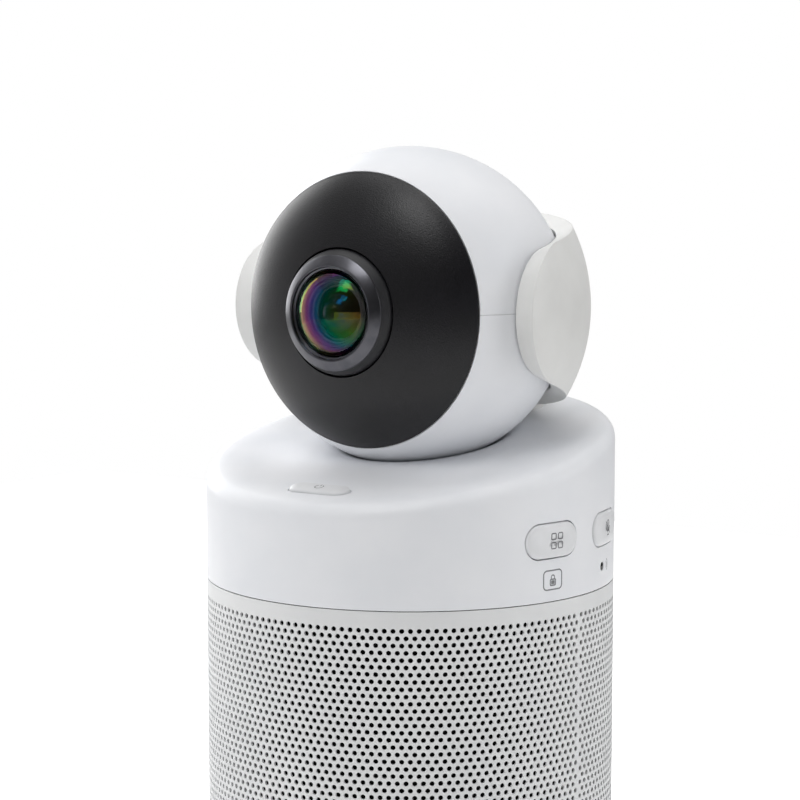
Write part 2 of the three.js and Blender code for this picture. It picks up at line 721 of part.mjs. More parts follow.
function yokeDirection(across, upward) {
  const angle = lobeBottom + upward * (lobeTop - lobeBottom);
  const end = lobePoint(angle);
  const endAzimuth = Math.acos(end.x / Math.sqrt(yokeInner ** 2 - end.y ** 2));
  const azimuth = endAzimuth + across * 2 * (Math.PI - endAzimuth);
  const folded = Math.min(azimuth, 2 * Math.PI - azimuth);
  const low = flankHeight(folded, lobeBottom, armFlareBottom);
  const high = flankHeight(folded, lobeTop, armFlareTop);
  const lowEnd = flankHeight(0, lobeBottom, armFlareBottom);
  const highEnd = flankHeight(0, lobeTop, armFlareTop);
  const share = (Math.asin(end.y / yokeInner) - lowEnd) / (highEnd - lowEnd);
  const elevation = low + share * (high - low);
  return new THREE.Vector3(
    Math.sin(azimuth) * Math.cos(elevation),
    -Math.cos(azimuth) * Math.cos(elevation),
    Math.sin(elevation),
  );
}

function yokeBand() {
  const columns = 28;
  const rows = 8;
  const points = [];
  for (const radius of [yokeOuter, yokeInner]) {
    for (let row = 0; row <= rows; row += 1) {
      for (let column = 0; column <= columns; column += 1) {
        const point = yokeDirection(column / columns, row / rows).multiplyScalar(radius);
        points.push(point.x, point.y, point.z + ballHeight);
      }
    }
  }
  const layer = (rows + 1) * (columns + 1);
  const at = (side, row, column) => side * layer + row * (columns + 1) + column;
  const faces = [];
  const quad = (a, b, c, d) => faces.push(a, b, c, a, c, d);
  for (let row = 0; row < rows; row += 1) {
    for (let column = 0; column < columns; column += 1) {
      quad(at(0, row, column), at(0, row, column + 1), at(0, row + 1, column + 1), at(0, row + 1, column));
      quad(at(1, row, column), at(1, row + 1, column), at(1, row + 1, column + 1), at(1, row, column + 1));
    }
    quad(at(0, row, 0), at(0, row + 1, 0), at(1, row + 1, 0), at(1, row, 0));
    quad(at(0, row, columns), at(1, row, columns), at(1, row + 1, columns), at(0, row + 1, columns));
  }
  for (let column = 0; column < columns; column += 1) {
    quad(at(0, 0, column), at(1, 0, column), at(1, 0, column + 1), at(0, 0, column + 1));
    quad(at(0, rows, column), at(0, rows, column + 1), at(1, rows, column + 1), at(1, rows, column));
  }
  const band = new THREE.BufferGeometry();
  band.setAttribute("position", new THREE.Float32BufferAttribute(points, 3));
  band.setIndex(faces);
  return band;
}

function addYoke() {
  const low = topHeight - topRise / 2;
  const shaft = neckShaft(low, ballHeight);
  const belowTop = slantedDisc(towerRadius + overlap, seamHeight - overlap, -gap, overlap);
  const roomForBall = ball(yokeInner, facetsLarge).translate(0, 0, ballHeight);
  const neck = cut(shaft, belowTop, roomForBall);
  const bushOuter = pinRadius + gap + bushWall;
  const bushHole = () => disc(bushOuter + gap, 0, bushReach, facetsSmall).rotateY(Math.PI / 2);
  const bracketTop = ballHeight - ballRadius / 2;
  const bracketWell = block(
    bracketWidth + 2 * gap,
    bracketDepth + 2 * gap,
    2 * (bracketTop + gap - topHeight),
    0,
    neckPlace,
    topHeight,
  );
  const rightHole = bushHole().translate(0, 0, ballHeight);
  const leftHole = bushHole().rotateZ(Math.PI).translate(0, 0, ballHeight);
  add("yoke_shell", "offWhite", cut(join(yokeBand(), neck), belowTop, rightHole, leftHole, bracketWell));

  const bracketLow = seamHeight + bracketLift;
  const post = block(
    bracketWidth,
    bracketDepth,
    bracketTop - bracketLow,
    0,
    neckPlace,
    (bracketTop + bracketLow) / 2,
  );
  const clearOfBall = ball(yokeInner + gap, facetsMedium).translate(0, 0, ballHeight);
  const footInside = neckPlace - bracketDepth / 2;
  const foot = ring(footInside, housingInner - gap, bracketLow - bracketFoot, bracketLow, facetsMedium);
  const footSpan = bracketWidth + 2 * bracketFootMargin;
  const footMiddle = footInside + towerRadius / 2;
  const footPart = common(foot, block(footSpan, towerRadius, towerRadius, 0, footMiddle, bracketLow));
  add("neck_bracket", "aluminium", cut(join(post.translate(0, 0, -gap), footPart), clearOfBall));

  const bushEnd = bushReach - gap;
  const bush = ring(pinRadius + gap, bushOuter, bushEnd - bushLength, bushEnd, facetsSmall);
  add("pivot_bush_right", "white", bush.clone().rotateY(Math.PI / 2), ballCentre);
  add("pivot_bush_left", "white", bush.clone().rotateY(-Math.PI / 2), ballCentre);
}

// ---------------------------------------------------------------- camera head
function addShells() {
  const shell = cut(ball(ballRadius, facetsLarge), ball(ballRadius - ballWall, facetsMedium));
  const frontMiddle = -coverEdgeHeight - ballRadius / 2 + gap;
  const front = block(3 * ballRadius, ballRadius, 3 * ballRadius, 0, frontMiddle, 0);
  const pinHole = disc(pinRadius + gap, -2 * ballRadius, 2 * ballRadius, facetsSmall).rotateY(Math.PI / 2);
  const half = 2 * ballRadius;
  const lower = block(2 * half, 2 * half, half, 0, 0, -half / 2 + gap / 2);
  const upper = block(2 * half, 2 * half, half, 0, 0, half / 2 - gap / 2);
  add("head_shell_upper", "white", cut(shell, front, pinHole, lower), ballCentre);
  add("head_shell_lower", "white", cut(shell, front, pinHole, upper), ballCentre);
}

function addCover() {
  const edge = new THREE.Vector2(coverEdgeRadius, coverEdgeHeight);
  const control = new THREE.Vector2(coverEdgeRadius - coverBulgeIn, coverEdgeHeight + coverBulgeUp);
  const groove = new THREE.Vector2(grooveRadius, grooveHeight);
  const bulge = new THREE.QuadraticBezierCurve(edge, control, groove).getPoints(6);
  const outside = bulge.map((point) => [point.x, point.y]);
  const inside = bulge
    .slice()
    .reverse()
    .map((point) => [point.x - coverEdgeWall, Math.max(point.y - coverWall, coverEdgeHeight)]);
  inside[0] = [grooveRadius, grooveHeight - coverWall];
  add("front_cover", "black", facingFront(turned([...outside, ...inside], facetsMedium)), ballCentre);
}

function addLens() {
  const skirt = grooveRadius - gap;
  const bezel = turned(
    [
      [bezelInner, grooveHeight - bezelSkirt],
      [skirt, grooveHeight - bezelSkirt],
      [skirt, grooveHeight - bezelLip],
      [bezelOuter + bezelLip, bezelTop - 2 * bezelLip],
      [bezelOuter - bezelLip, bezelTop],
      [bezelInner + bezelLip, bezelTop],
      [bezelInner, bezelTop - bezelLip],
    ],
    facetsMedium,
  );
  add("lens_bezel", "darkGrey", facingFront(bezel), ballCentre);

  const glassRadius = bezelInner - gap;
  const glassEdge = bezelTop - glassSeat;
  const apex = ballRadius - glassSink;
  const sag = apex - glassEdge;
  const curve = (glassRadius ** 2 + sag ** 2) / (2 * sag);
  const reach = Math.asin(glassRadius / curve);
  const domeSteps = 6;
  const dome = [];
  for (let i = 0; i <= domeSteps; i += 1) {
    const angle = reach * (1 - i / domeSteps);
    dome.push([curve * Math.sin(angle), apex - curve * (1 - Math.cos(angle))]);
  }
  const hollow = dome
    .slice()
    .reverse()
    .map(([radius, height]) => [radius * glassHollow, height - glassThickness]);
  const glass = turned([...hollow, [glassRadius, glassEdge - glassThickness], ...dome], facetsMedium);
  add("front_element", "glass", facingFront(glass), ballCentre);

  const barrelOuter = glassRadius - barrelClearance;
  const barrelInner = barrelOuter - barrelWall;
  const barrelTop = glassEdge - glassThickness - gap;
  const barrel = ring(barrelInner, barrelOuter, barrelRear, barrelTop, facetsMedium);
  add("lens_barrel", "black", facingFront(barrel), ballCentre);

  const rearRadius = barrelInner - gap;
  const rearLow = barrelRear + rearGlassLift;
  const rearSteps = 4;
  const rear = [[0, rearLow], [rearRadius, rearLow]];
  for (let i = 0; i <= rearSteps; i += 1) {
    const share = 1 - i / rearSteps;
    rear.push([rearRadius * share, rearLow + rearGlassEdge + rearGlassRise * (1 - share ** 2)]);
  }
  add("rear_element", "glass", facingFront(turned(rear, facetsMedium)), ballCentre);

  const boardFront = barrelRear - sensorSetback;
  const boardMiddle = boardThickness / 2 - boardFront;
  const board = block(sensorBoardSize, boardThickness, sensorBoardSize, 0, boardMiddle, 0);
  const sensorMiddle = boardFront + gap + sensorThickness / 2;
  add("sensor_board", "board", board, ballCentre);
  const sensor = block(sensorSize, sensorThickness, sensorSize, 0, -sensorMiddle, 0);
  add("image_sensor", "ferrite", sensor, ballCentre);
}

function addHeadFrame() {
  const plateFront = barrelRear - sensorSetback - boardThickness - 2 * gap;
  const ringInner = frameRing - frameRingWall;
  const frameBody = ring(ringInner, frameRing, plateFront - frameThickness, plateFront, facetsMedium);
  const lugHeight = 2 * (pinRadius + lugWall);
  const lugs = [-1, 1].map((side) => {
    const depth = plateFront + lugHeight / 2;
    const middle = frameRing - lugThickness / 2;
    return block(lugThickness, depth, lugHeight, side * middle, -plateFront + depth / 2, 0);
  });
  const pinHole = disc(pinRadius + gap, -2 * ballRadius, 2 * ballRadius, facetsSmall).rotateY(Math.PI / 2);
  add("head_frame", "aluminium", cut(join(facingFront(frameBody), ...lugs), pinHole), ballCentre);

  const nutLow = frameRing + gap;
  const nutHigh = nutLow + nutThickness;
  const pin = disc(pinRadius, frameRing - lugThickness - pinRoot, bushReach - gap, facetsSmall);
  const nutHole = disc(pinRadius + gap, nutLow - overlap, nutHigh + overlap, facetsSmall);
  const nut = cut(disc(pinRadius + nutWall, nutLow, nutHigh, 6), nutHole);
  for (const [side, turn] of [["right", Math.PI / 2], ["left", -Math.PI / 2]]) {
    add(`pivot_pin_${side}`, "steel", pin.clone().rotateY(turn), ballCentre);
    add(`pivot_nut_${side}`, "steel", nut.clone().rotateY(turn), ballCentre);
  }
}

addBase();
addChassis();
addGrille();
addSpeaker();
addBoards();
addPorts();
addTopHousing();
addButtons();
addYoke();
addShells();
addCover();
addLens();
addHeadFrame();

export default assembly;
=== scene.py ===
import json
import math

import bmesh
import bpy
from mathutils import Matrix, Vector


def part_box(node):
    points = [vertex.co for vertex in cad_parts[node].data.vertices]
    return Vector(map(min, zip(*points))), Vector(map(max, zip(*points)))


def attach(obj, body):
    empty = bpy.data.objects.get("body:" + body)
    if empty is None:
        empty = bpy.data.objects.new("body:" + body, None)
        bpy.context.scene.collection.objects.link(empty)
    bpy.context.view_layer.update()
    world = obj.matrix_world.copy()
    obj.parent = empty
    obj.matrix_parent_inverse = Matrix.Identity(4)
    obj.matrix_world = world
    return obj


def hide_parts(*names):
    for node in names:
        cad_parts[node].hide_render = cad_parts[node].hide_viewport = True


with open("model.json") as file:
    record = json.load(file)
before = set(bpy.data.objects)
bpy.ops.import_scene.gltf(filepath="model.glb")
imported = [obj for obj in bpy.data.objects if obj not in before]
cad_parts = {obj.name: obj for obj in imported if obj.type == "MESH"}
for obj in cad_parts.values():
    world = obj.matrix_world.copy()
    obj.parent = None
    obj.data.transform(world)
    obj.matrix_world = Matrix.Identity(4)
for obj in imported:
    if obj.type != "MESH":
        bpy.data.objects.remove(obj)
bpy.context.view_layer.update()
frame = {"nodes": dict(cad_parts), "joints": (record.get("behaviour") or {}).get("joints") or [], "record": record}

mm = 0.001

# places that the CAD model gives
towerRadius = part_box("grille_tube")[1].x
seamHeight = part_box("top_housing")[0].z  # underside of the top housing
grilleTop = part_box("grille_tube")[1].z
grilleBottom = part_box("grille_tube")[0].z
joints = {joint["name"]: joint for joint in frame["joints"]}
ballCentre = Vector(joints["head_tilt"]["pos_m"])
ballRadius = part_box("head_shell_upper")[1].z - ballCentre.z
topNormal = -Vector(joints["power_press"]["axis"])  # square to the slanted top


def azimuthOf(jointName):
    axis = joints[jointName]["axis"]
    return math.atan2(-axis[0], axis[1])


def clearSelection():
    if bpy.context.mode != "OBJECT":
        bpy.ops.object.mode_set(mode="OBJECT")
    bpy.ops.object.select_all(action="DESELECT")


def pick(*pieces):
    clearSelection()
    for piece in pieces:
        piece.select_set(True)
    bpy.context.view_layer.objects.active = pieces[0]


def named(name):
    piece = bpy.context.active_object
    piece.name = name
    piece.data.name = name
    return piece


def settle():
    bpy.ops.object.transform_apply(location=True, rotation=True, scale=True)


def openMesh(piece):
    pick(piece)
    bpy.ops.object.mode_set(mode="EDIT")
    bpy.ops.mesh.select_all(action="SELECT")


def closeMesh(threshold=0):
    # joins vertices that meet, turns the faces outwards and leaves edit mode
    bpy.ops.mesh.select_all(action="SELECT")
    if threshold:
        bpy.ops.mesh.remove_doubles(threshold=threshold)
    bpy.ops.mesh.normals_make_consistent(inside=False)
    bpy.ops.object.mode_set(mode="OBJECT")


def applied(piece, kind, **settings):
    modifier = piece.modifiers.new(kind.lower(), kind)
    for key, value in settings.items():
        setattr(modifier, key, value)
    pick(piece)
    bpy.ops.object.modifier_apply(modifier=modifier.name)


def carve(piece, tool, operation="DIFFERENCE"):
    applied(piece, "BOOLEAN", operation=operation, object=tool, solver="EXACT")
    bpy.data.objects.remove(tool)


def drill(piece, radius, depth, middle, turn=(0, 0, 0), sides=48):
    clearSelection()
    bpy.ops.mesh.primitive_cylinder_add(
        vertices=sides, radius=radius * mm, depth=depth * mm, location=middle, rotation=turn
    )
    settle()
    carve(piece, named("drill"))


def choose(piece, kind, test):
    bpy.ops.mesh.select_mode(type=kind)
    bpy.ops.mesh.select_all(action="DESELECT")
    mesh = bmesh.from_edit_mesh(piece.data)
    for part in {"VERT": mesh.verts, "EDGE": mesh.edges, "FACE": mesh.faces}[kind]:
        if test(part):
            part.select_set(True)
    mesh.select_flush_mode()
    bmesh.update_edit_mesh(piece.data)


def middleOf(part):
    return sum((vert.co for vert in part.verts), Vector()) / len(part.verts)


def moveVertices(piece, *moves):
    for vert in piece.data.vertices:
        for move in moves:
            vert.co = move(vert.co)
    piece.data.update()


def netPiece(name, columns, rows, spot, middle):
    # a grid drawn out over a shape, joined where its edges meet, its faces turned away from the middle
    clearSelection()
    bpy.ops.mesh.primitive_grid_add(x_subdivisions=columns, y_subdivisions=rows, size=1)
    piece = named(name)
    moveVertices(piece, lambda net: spot(net.x + 0.5, net.y + 0.5))
    openMesh(piece)
    closeMesh(2e-6)
    side = piece.data.polygons[0]
    if (side.center - middle).dot(side.normal) < 0:
        piece.data.flip_normals()
    return piece


def spunPiece(name, profile, steps, facing="up", middle=None):
    # draws (radius, along) points in millimetres as a wire and spins it once round its axis
    centre = middle or Vector((0, 0, 0))
    axis = {"up": Vector((0, 0, 1)), "front": Vector((0, -1, 0))}[facing]
    points = [centre + Vector((radius * mm, 0, 0)) + axis * along * mm for radius, along in profile]
    clearSelection()
    bpy.ops.mesh.primitive_plane_add(size=mm, location=points[0])
    piece = named(name)
    settle()
    openMesh(piece)
    bpy.ops.mesh.merge(type="CENTER")
    closed = profile[0][0] > 0 or profile[-1][0] > 0
    for before, after in zip(points, points[1:] + points[:1] if closed else points[1:]):
        bpy.ops.mesh.extrude_region_move(TRANSFORM_OT_translate={"value": after - before})
    bpy.ops.mesh.select_all(action="SELECT")
    bpy.ops.mesh.remove_doubles(threshold=1e-6)
    bpy.ops.mesh.spin(steps=steps, angle=2 * math.pi, center=centre, axis=axis)
    closeMesh(1e-6)
    return piece


def rounded(corners, radius, steps=4):
    # a profile whose corners are replaced with arcs, drawn as quadratic curves
    points = []
    count = len(corners)
    for index, corner in enumerate(corners):
        here = Vector(corner)
        ahead = Vector(corners[(index + 1) % count]) - here
        behind = Vector(corners[index - 1]) - here
        reach = min(radius, ahead.length * 0.45, behind.length * 0.45)
        start = here + behind.normalized() * reach
        end = here + ahead.normalized() * reach
        for step in range(steps + 1):
            share = step / steps
            point = start * (1 - share) ** 2 + here * 2 * share * (1 - share) + end * share ** 2
            points.append(tuple(point))
    return points


def linear(hexColour):
    parts = [int(hexColour[i:i + 2], 16) / 255 for i in (1, 3, 5)]
    return (*[p / 12.92 if p <= 0.04045 else ((p + 0.055) / 1.055) ** 2.4 for p in parts], 1)


def addNode(tree, kind, settings=None, links=None):
    node = tree.nodes.new("ShaderNode" + kind)
    for key, value in (settings or {}).items():
        if isinstance(key, int) or key in node.inputs:
            node.inputs[key].default_value = value
        else:
            setattr(node, key, value)
    for key, source in (links or {}).items():
        tree.links.new(source, node.inputs[key])
    return node


def startFinish(name, settings):
    material = bpy.data.materials.new(name)
    material.use_nodes = True
    tree = material.node_tree
    tree.nodes.clear()
    shader = addNode(tree, "BsdfPrincipled", settings)
    addNode(tree, "OutputMaterial", {}, {"Surface": shader.outputs["BSDF"]})
    coords = addNode(tree, "TexCoord").outputs["Object"]
    return material, tree, shader, coords


def drawPattern(tree, coords, patterns):
    # each pattern is a texture's kind, its size in millimetres and its other settings; two are multiplied
    parts = []
    for kind, size, settings in patterns:
        period = 0.3 if kind == "TexWave" else 1  # how far a texture runs before it repeats, at scale 1
        node = addNode(tree, kind, {"Scale": period / (size * mm)} | settings, {"Vector": coords})
        parts.append(node.outputs["Fac"])
    if len(parts) == 1:
        return parts[0]
    return addNode(tree, "Math", {"operation": "MULTIPLY"}, dict(enumerate(parts))).outputs["Value"]


def patternedFinish(name, settings, tone=None, relief=None, unevenness=0, centre=None):
    # tone is patterns, two colours and the shares where the blend starts and ends
    # relief is patterns, strength and depth in millimetres
    material, tree, shader, coords = startFinish(name, settings)
    if tone:
        patterns, dark, light, start, end = tone
        share = drawPattern(tree, coords, patterns)
        spread = addNode(tree, "MapRange", {"From Min": start, "From Max": end}, {"Value": share})
        colours = {"data_type": "RGBA", 6: linear(dark), 7: linear(light)}
        mix = addNode(tree, "Mix", colours, {0: spread.outputs["Result"]})
        tree.links.new(mix.outputs[2], shader.inputs["Base Color"])
    if relief:
        patterns, strength, depth = relief
        if centre:
            coords = addNode(tree, "Mapping", {"Location": centre}, {"Vector": coords}).outputs["Vector"]
        height = drawPattern(tree, coords, patterns)
        bump = addNode(tree, "Bump", {"Strength": strength, "Distance": depth * mm}, {"Height": height})
        tree.links.new(bump.outputs["Normal"], shader.inputs["Normal"])
    if unevenness:
        limits = {"To Min": settings["Roughness"] - unevenness, "To Max": settings["Roughness"] + unevenness}
        rough = addNode(tree, "MapRange", limits, {"Value": height})
        tree.links.new(rough.outputs["Result"], shader.inputs["Roughness"])
    return material


def mouldedPlastic(name, colours, gloss, patch, grain):
    # eroded mould texture: a fine even grain that softens the gloss, and a faint unevenness of tone
    # gloss is roughness and how far it varies; grain is size, relief and depth
    roughness, unevenness = gloss
    tone = ([("TexNoise", patch, {"Detail": 3})], *colours, 0.3, 0.7)
    relief = ([("TexNoise", grain[0], {"Detail": 2})], *grain[1:])
    return patternedFinish(name, {"Roughness": roughness, "IOR": 1.46}, tone, relief, unevenness)


def turnedMetal(name, colours, roughness, axis, groove, relief, metal=1, centre=None):
    # cut on a lathe: fine rings about the axis that pull the highlight into streaks
    rings = {"wave_type": "RINGS", "rings_direction": axis, "Distortion": 0.4}
    tone = ([("TexNoise", 3, {"Detail": 3})], *colours, 0.3, 0.7)
    relief = ([("TexWave", groove, rings)], relief, 0.02)
    return patternedFinish(name, {"Metallic": metal, "Roughness": roughness}, tone, relief, centre=centre)


def sheetMetal(name, colours, roughness, cloud, pit):
    # rolled or cast and plated: a cloudy metal with small pits
    tone = ([("TexNoise", cloud, {"Detail": 4})], *colours, 0.3, 0.7)
    relief = ([("TexNoise", pit, {"Detail": 2})], 0.3, 0.04)
    return patternedFinish(name, {"Metallic": 1, "Roughness": roughness}, tone, relief)


def coatedGlass(name, film, through=0, gloss=0.5, body="#050507"):
    # polished glass with an antireflection film: the film's thickness gives the colour of the reflections
    settings = {"Base Color": linear(body), "Roughness": 0.015, "IOR": 1.45, "Specular IOR Level": gloss}
    settings |= {"Transmission Weight": through, "Thin Film Thickness": film, "Thin Film IOR": 1.2}
    return patternedFinish(name, settings, relief=([("TexNoise", 4, {})], 0.02, 0.01))


def makeFinishes():
    lensMiddle = tuple(-ballCentre)
    weave = [("TexWave", 0.5, {"bands_direction": axis}) for axis in "ZX"]
    fibres = [("TexNoise", 0.9, {"Detail": 5, "Roughness": 0.7})]
    return {
        # polycarbonate blend: cool white and satin, with soft wide highlights
        "white_housing": mouldedPlastic(
            "Polycarbonate_moulded_cool_white", ("#eceef2", "#f3f4f7"), (0.42, 0.05), 18, (0.16, 0.12, 0.02)
        ),
        # ABS: a little warmer and duller than the shells
        "yoke_plastic": mouldedPlastic(
            "ABS_moulded_warm_white", ("#dfdfdd", "#e8e8e6"), (0.48, 0.05), 14, (0.16, 0.14, 0.02)
        ),
        "button_plastic": mouldedPlastic(
            "ABS_moulded_key_white", ("#e3e4e6", "#ebecee"), (0.38, 0.04), 6, (0.14, 0.1, 0.015)
        ),
        # a coarse grain, drawn as coarse as it needs to show: black that sparkles faintly
        "black_cover": mouldedPlastic(
            "Polycarbonate_moulded_grained_black", ("#0a090d", "#111015"), (0.38, 0.1), 11, (0.3, 1.0, 0.045)
        ),
        "base_plastic": mouldedPlastic(
            "ABS_moulded_dark_grey", ("#2f3033", "#383a3d"), (0.55, 0.08), 12, (0.35, 0.3, 0.05)
        ),
        "chassis_plastic": mouldedPlastic(
            "Glass_filled_nylon_moulded", ("#26272a", "#2e2f33"), (0.5, 0.06), 20, (0.4, 0.2, 0.04)
        ),
        "inlet_plastic": mouldedPlastic(
            "Nylon_moulded_black", ("#131314", "#1b1b1d"), (0.36, 0.05), 5, (0.2, 0.15, 0.02)
        ),
        "bush_plastic": mouldedPlastic(
            "Acetal_moulded_natural", ("#e9e6dc", "#f1eee5"), (0.4, 0.04), 5, (0.2, 0.1, 0.02)
        ),
        "ferrite": mouldedPlastic(
            "Ferrite_sintered", ("#2b2b2c", "#383839"), (0.5, 0.06), 20, (0.4, 0.2, 0.04)
        ),
        "lens_trim": turnedMetal(
            "Aluminium_turned_anodised_grey", ("#58585d", "#66666b"), 0.3, "Y", 0.25, 0.25, centre=lensMiddle
        ),
        "lens_well": turnedMetal(
            "Aluminium_turned_blackened", ("#18181b", "#222226"), 0.5, "Y", 0.3, 0.3, 0, lensMiddle
        ),
        "lens_glass": coatedGlass("Optical_glass_polished_coated", 708, 1, 0.32, "#ffffff"),
        # powder coat baked on steel: white with a slight orange peel, duller than the moulded parts
        "grille_metal": patternedFinish(
            "Steel_perforated_powder_coated", {"Roughness": 0.5, "IOR": 1.5},
            ([("TexNoise", 25, {"Detail": 2})], "#e2e3e4", "#ebecec", 0.3, 0.7),
            ([("TexNoise", 0.7, {"Detail": 2})], 0.15, 0.03),
        ),
        # acoustic mesh, plain weave of black polyester: nearly no gloss, threads every 0.5 mm
        "acoustic_cloth": patternedFinish(
            "Polyester_woven_black", {"Roughness": 0.95, "Specular IOR Level": 0.2},
            (weave, "#030303", "#0c0c0d", 0, 1),
            (weave, 0.5, 0.08),
        ),
        # silicone rubber from a polished tool: near black, with a dry bloom
        "rubber": patternedFinish(
            "Silicone_rubber_moulded", {"Roughness": 0.75, "Sheen Weight": 0.15},
            ([("TexNoise", 6, {"Detail": 4})], "#161617", "#222224", 0.3, 0.7),
            ([("TexNoise", 0.4, {})], 0.25, 0.04),
        ),
        "brass": turnedMetal("Brass_turned", ("#b8924a", "#cba964"), 0.3, "Z", 0.3, 0.25),
        "screw_steel": turnedMetal("Steel_turned_zinc_plated", ("#8f9194", "#a5a7aa"), 0.32, "Z", 0.3, 0.2),
        "plated_steel": sheetMetal("Steel_rolled_nickel_plated", ("#a6a9ac", "#bcbfc2"), 0.34, 5, 0.5),
        "cast_aluminium": sheetMetal("Aluminium_die_cast", ("#b4b6b8", "#c8cacc"), 0.45, 7, 0.8),
        # glass-fibre board under green lacquer: its tracks show through as a lighter green
        "circuit_board": patternedFinish(
            "Glass_fibre_board_lacquered", {"Roughness": 0.35, "IOR": 1.5, "Coat Weight": 0.4},
            ([("TexBrick", 6, {"Mortar Size": 0.04})], "#14532f", "#2a7a48", 0, 1),
        ),
        # pressed paper pulp: matt, with short fibres that catch a little light
        "speaker_paper": patternedFinish(
            "Paper_pulp_pressed", {"Roughness": 0.85},
            (fibres, "#1b1b1e", "#323236", 0.3, 0.7),
            (fibres, 0.4, 0.1),
        ),
        "light_pipe": coatedGlass("Acrylic_moulded_smoked", 0, body="#0b0b0d"),
        # screen-printed ink, grey and matt, with slightly uneven cover
        "ink": patternedFinish(
            "Ink_screen_printed_grey", {"Roughness": 0.55},
            ([("TexNoise", 0.3, {})], "#77787b", "#808184", 0.3, 0.7),
        ),
        "violetGlass": coatedGlass("Optical_glass_polished_violet_coat", 430, gloss=0.3),
        "blueGlass": coatedGlass("Optical_glass_polished_blue_coat", 170),
        "tealGlass": coatedGlass("Optical_glass_polished_teal_coat", 504, gloss=0.16),
    }


finishes = makeFinishes()
print("finishes made:", len(finishes))


def place(piece, body, finish, angle=0, replaces=()):
    # edges sharper than the angle stay crisp
    if angle:
        pick(piece)
        bpy.ops.object.shade_smooth_by_angle(angle=math.radians(angle))
    piece.data.materials.clear()
    piece.data.materials.append(finishes[finish])
    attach(piece, body)
    if replaces:
        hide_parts(*replaces)


for part in frame["record"]["subparts"]:
    cadMaterials = frame["nodes"][part["node"]].data.materials
    cadMaterials.clear()
    cadMaterials.append(finishes[part["material_slot"]])
print("frame parts finished:", len(frame["nodes"]))


def rollRound(radius, azimuth=0):
    # takes a point of a flat drawing that faces the front to the same place on a drum
    def rolled(point):
        angle = azimuth + point.x / radius
        out = radius - point.y
        return Vector((out * math.sin(angle), -out * math.cos(angle), point.z))

    return rolled


grille = {
    "columns": 159,  # holes round the tower
    "rowPitch": 1.5,
    "rows": 88,
    "holeWidth": 1.06,
    "holeSides": 12,
    "firstRow": 4.1,  # from the seam down to the middle of the first row
    "wall": 0.4,
    "joint": 0.79,  # blank strip where the rolled sheet meets
    "jointAzimuth": 84.7,
    "bands": 6,
    "windowMargin": 0.5,
    "tuck": 0.13,  # how far the top rim goes up behind the housing's edge
    "cloth": 0.5,
    "clothTop": 0.3,  # below the top of the grille
}


def grilleCell(pitch):
    # one hole in its oblong of sheet, flat and facing the front
    clearSelection()
    holeRadius = grille["holeWidth"] * mm / 2
    facing = (math.pi / 2, 0, 0)
    bpy.ops.mesh.primitive_circle_add(vertices=grille["holeSides"], radius=holeRadius, rotation=facing)
    cell = named("grille_cell")
    settle()
    bpy.ops.object.mode_set(mode="EDIT")
    bpy.ops.mesh.select_mode(type="EDGE")
    bpy.ops.mesh.select_all(action="SELECT")
    bpy.ops.mesh.extrude_edges_move()
    bpy.ops.transform.resize(value=(2, 2, 2), center_override=(0, 0, 0))
    bpy.ops.object.mode_set(mode="OBJECT")

    def squared(point):
        if point.length < 1.5 * holeRadius:
            return point
        level, upright = point.x / point.length, point.z / point.length
        level = round(level) if abs(level) > 0.8 else round(level * 2) / 2
        upright = math.copysign(1, upright) if abs(upright) > 0.4 else 0
        return Vector((level * pitch / 2, 0, upright * grille["rowPitch"] * mm / 2))

    moveVertices(cell, squared)
    return cell


def grilleBand(index, cell, pitch, firstRow, rows):
    # rows of holes, punched flat, rolled to a tube and given the sheet's thickness
    pick(cell)
    bpy.ops.object.duplicate()
    band = named(f"grille_band_{index + 1}")
    step = grille["rowPitch"] * mm
    openMesh(band)
    bpy.ops.mesh.duplicate_move(TRANSFORM_OT_translate={"value": (pitch / 2, 0, -step)})
    bpy.ops.object.mode_set(mode="OBJECT")
    for count, offset in ((grille["columns"], (pitch, 0, 0)), (rows // 2, (0, 0, -2 * step))):
        spaced = {"use_relative_offset": False, "use_constant_offset": True, "use_merge_vertices": False}
        applied(band, "ARRAY", count=count, constant_offset_displace=offset, **spaced)

    def onJoint(edge):
        ends = [vert.co for vert in edge.verts]
        return edge.is_boundary and abs(ends[0].x - ends[1].x) < 1e-7 and ends[0].x < pitch / 10

    bpy.ops.object.mode_set(mode="EDIT")
    choose(band, "EDGE", onJoint)
    bpy.ops.mesh.extrude_edges_move(TRANSFORM_OT_translate={"value": (-grille["joint"] * mm, 0, 0)})
    bpy.ops.mesh.select_all(action="SELECT")
    bpy.ops.mesh.remove_doubles(threshold=2e-5)
    bpy.ops.object.mode_set(mode="OBJECT")
    start = math.radians(grille["jointAzimuth"]) * towerRadius + pitch / 2 + grille["joint"] * mm / 2
    height = seamHeight - grille["firstRow"] * mm - firstRow * step
    moveVertices(band, lambda point: point + Vector((start, 0, height)), rollRound(towerRadius))
    openMesh(band)
    bpy.ops.mesh.remove_doubles(threshold=2e-5)
    # the first and the last band carry the plain rims
    rims = []
    if firstRow == 0:
        rims.append((height + step / 2, grilleTop + grille["tuck"] * mm))
    if firstRow + rows == grille["rows"]:
        rims.append((height - (rows - 0.5) * step, grilleBottom))
    for level, end in rims:
        choose(band, "EDGE", lambda edge: all(abs(vert.co.z - level) < 1e-6 for vert in edge.verts))
        bpy.ops.mesh.extrude_edges_move(TRANSFORM_OT_translate={"value": (0, 0, end - level)})
    cutWindow(band)
    closeMesh()
    applied(band, "SOLIDIFY", thickness=grille["wall"] * mm, offset=-1, use_even_offset=True)
    place(band, "tower", "grille_metal", 35, replaces=["grille_tube"] if index == 0 else [])


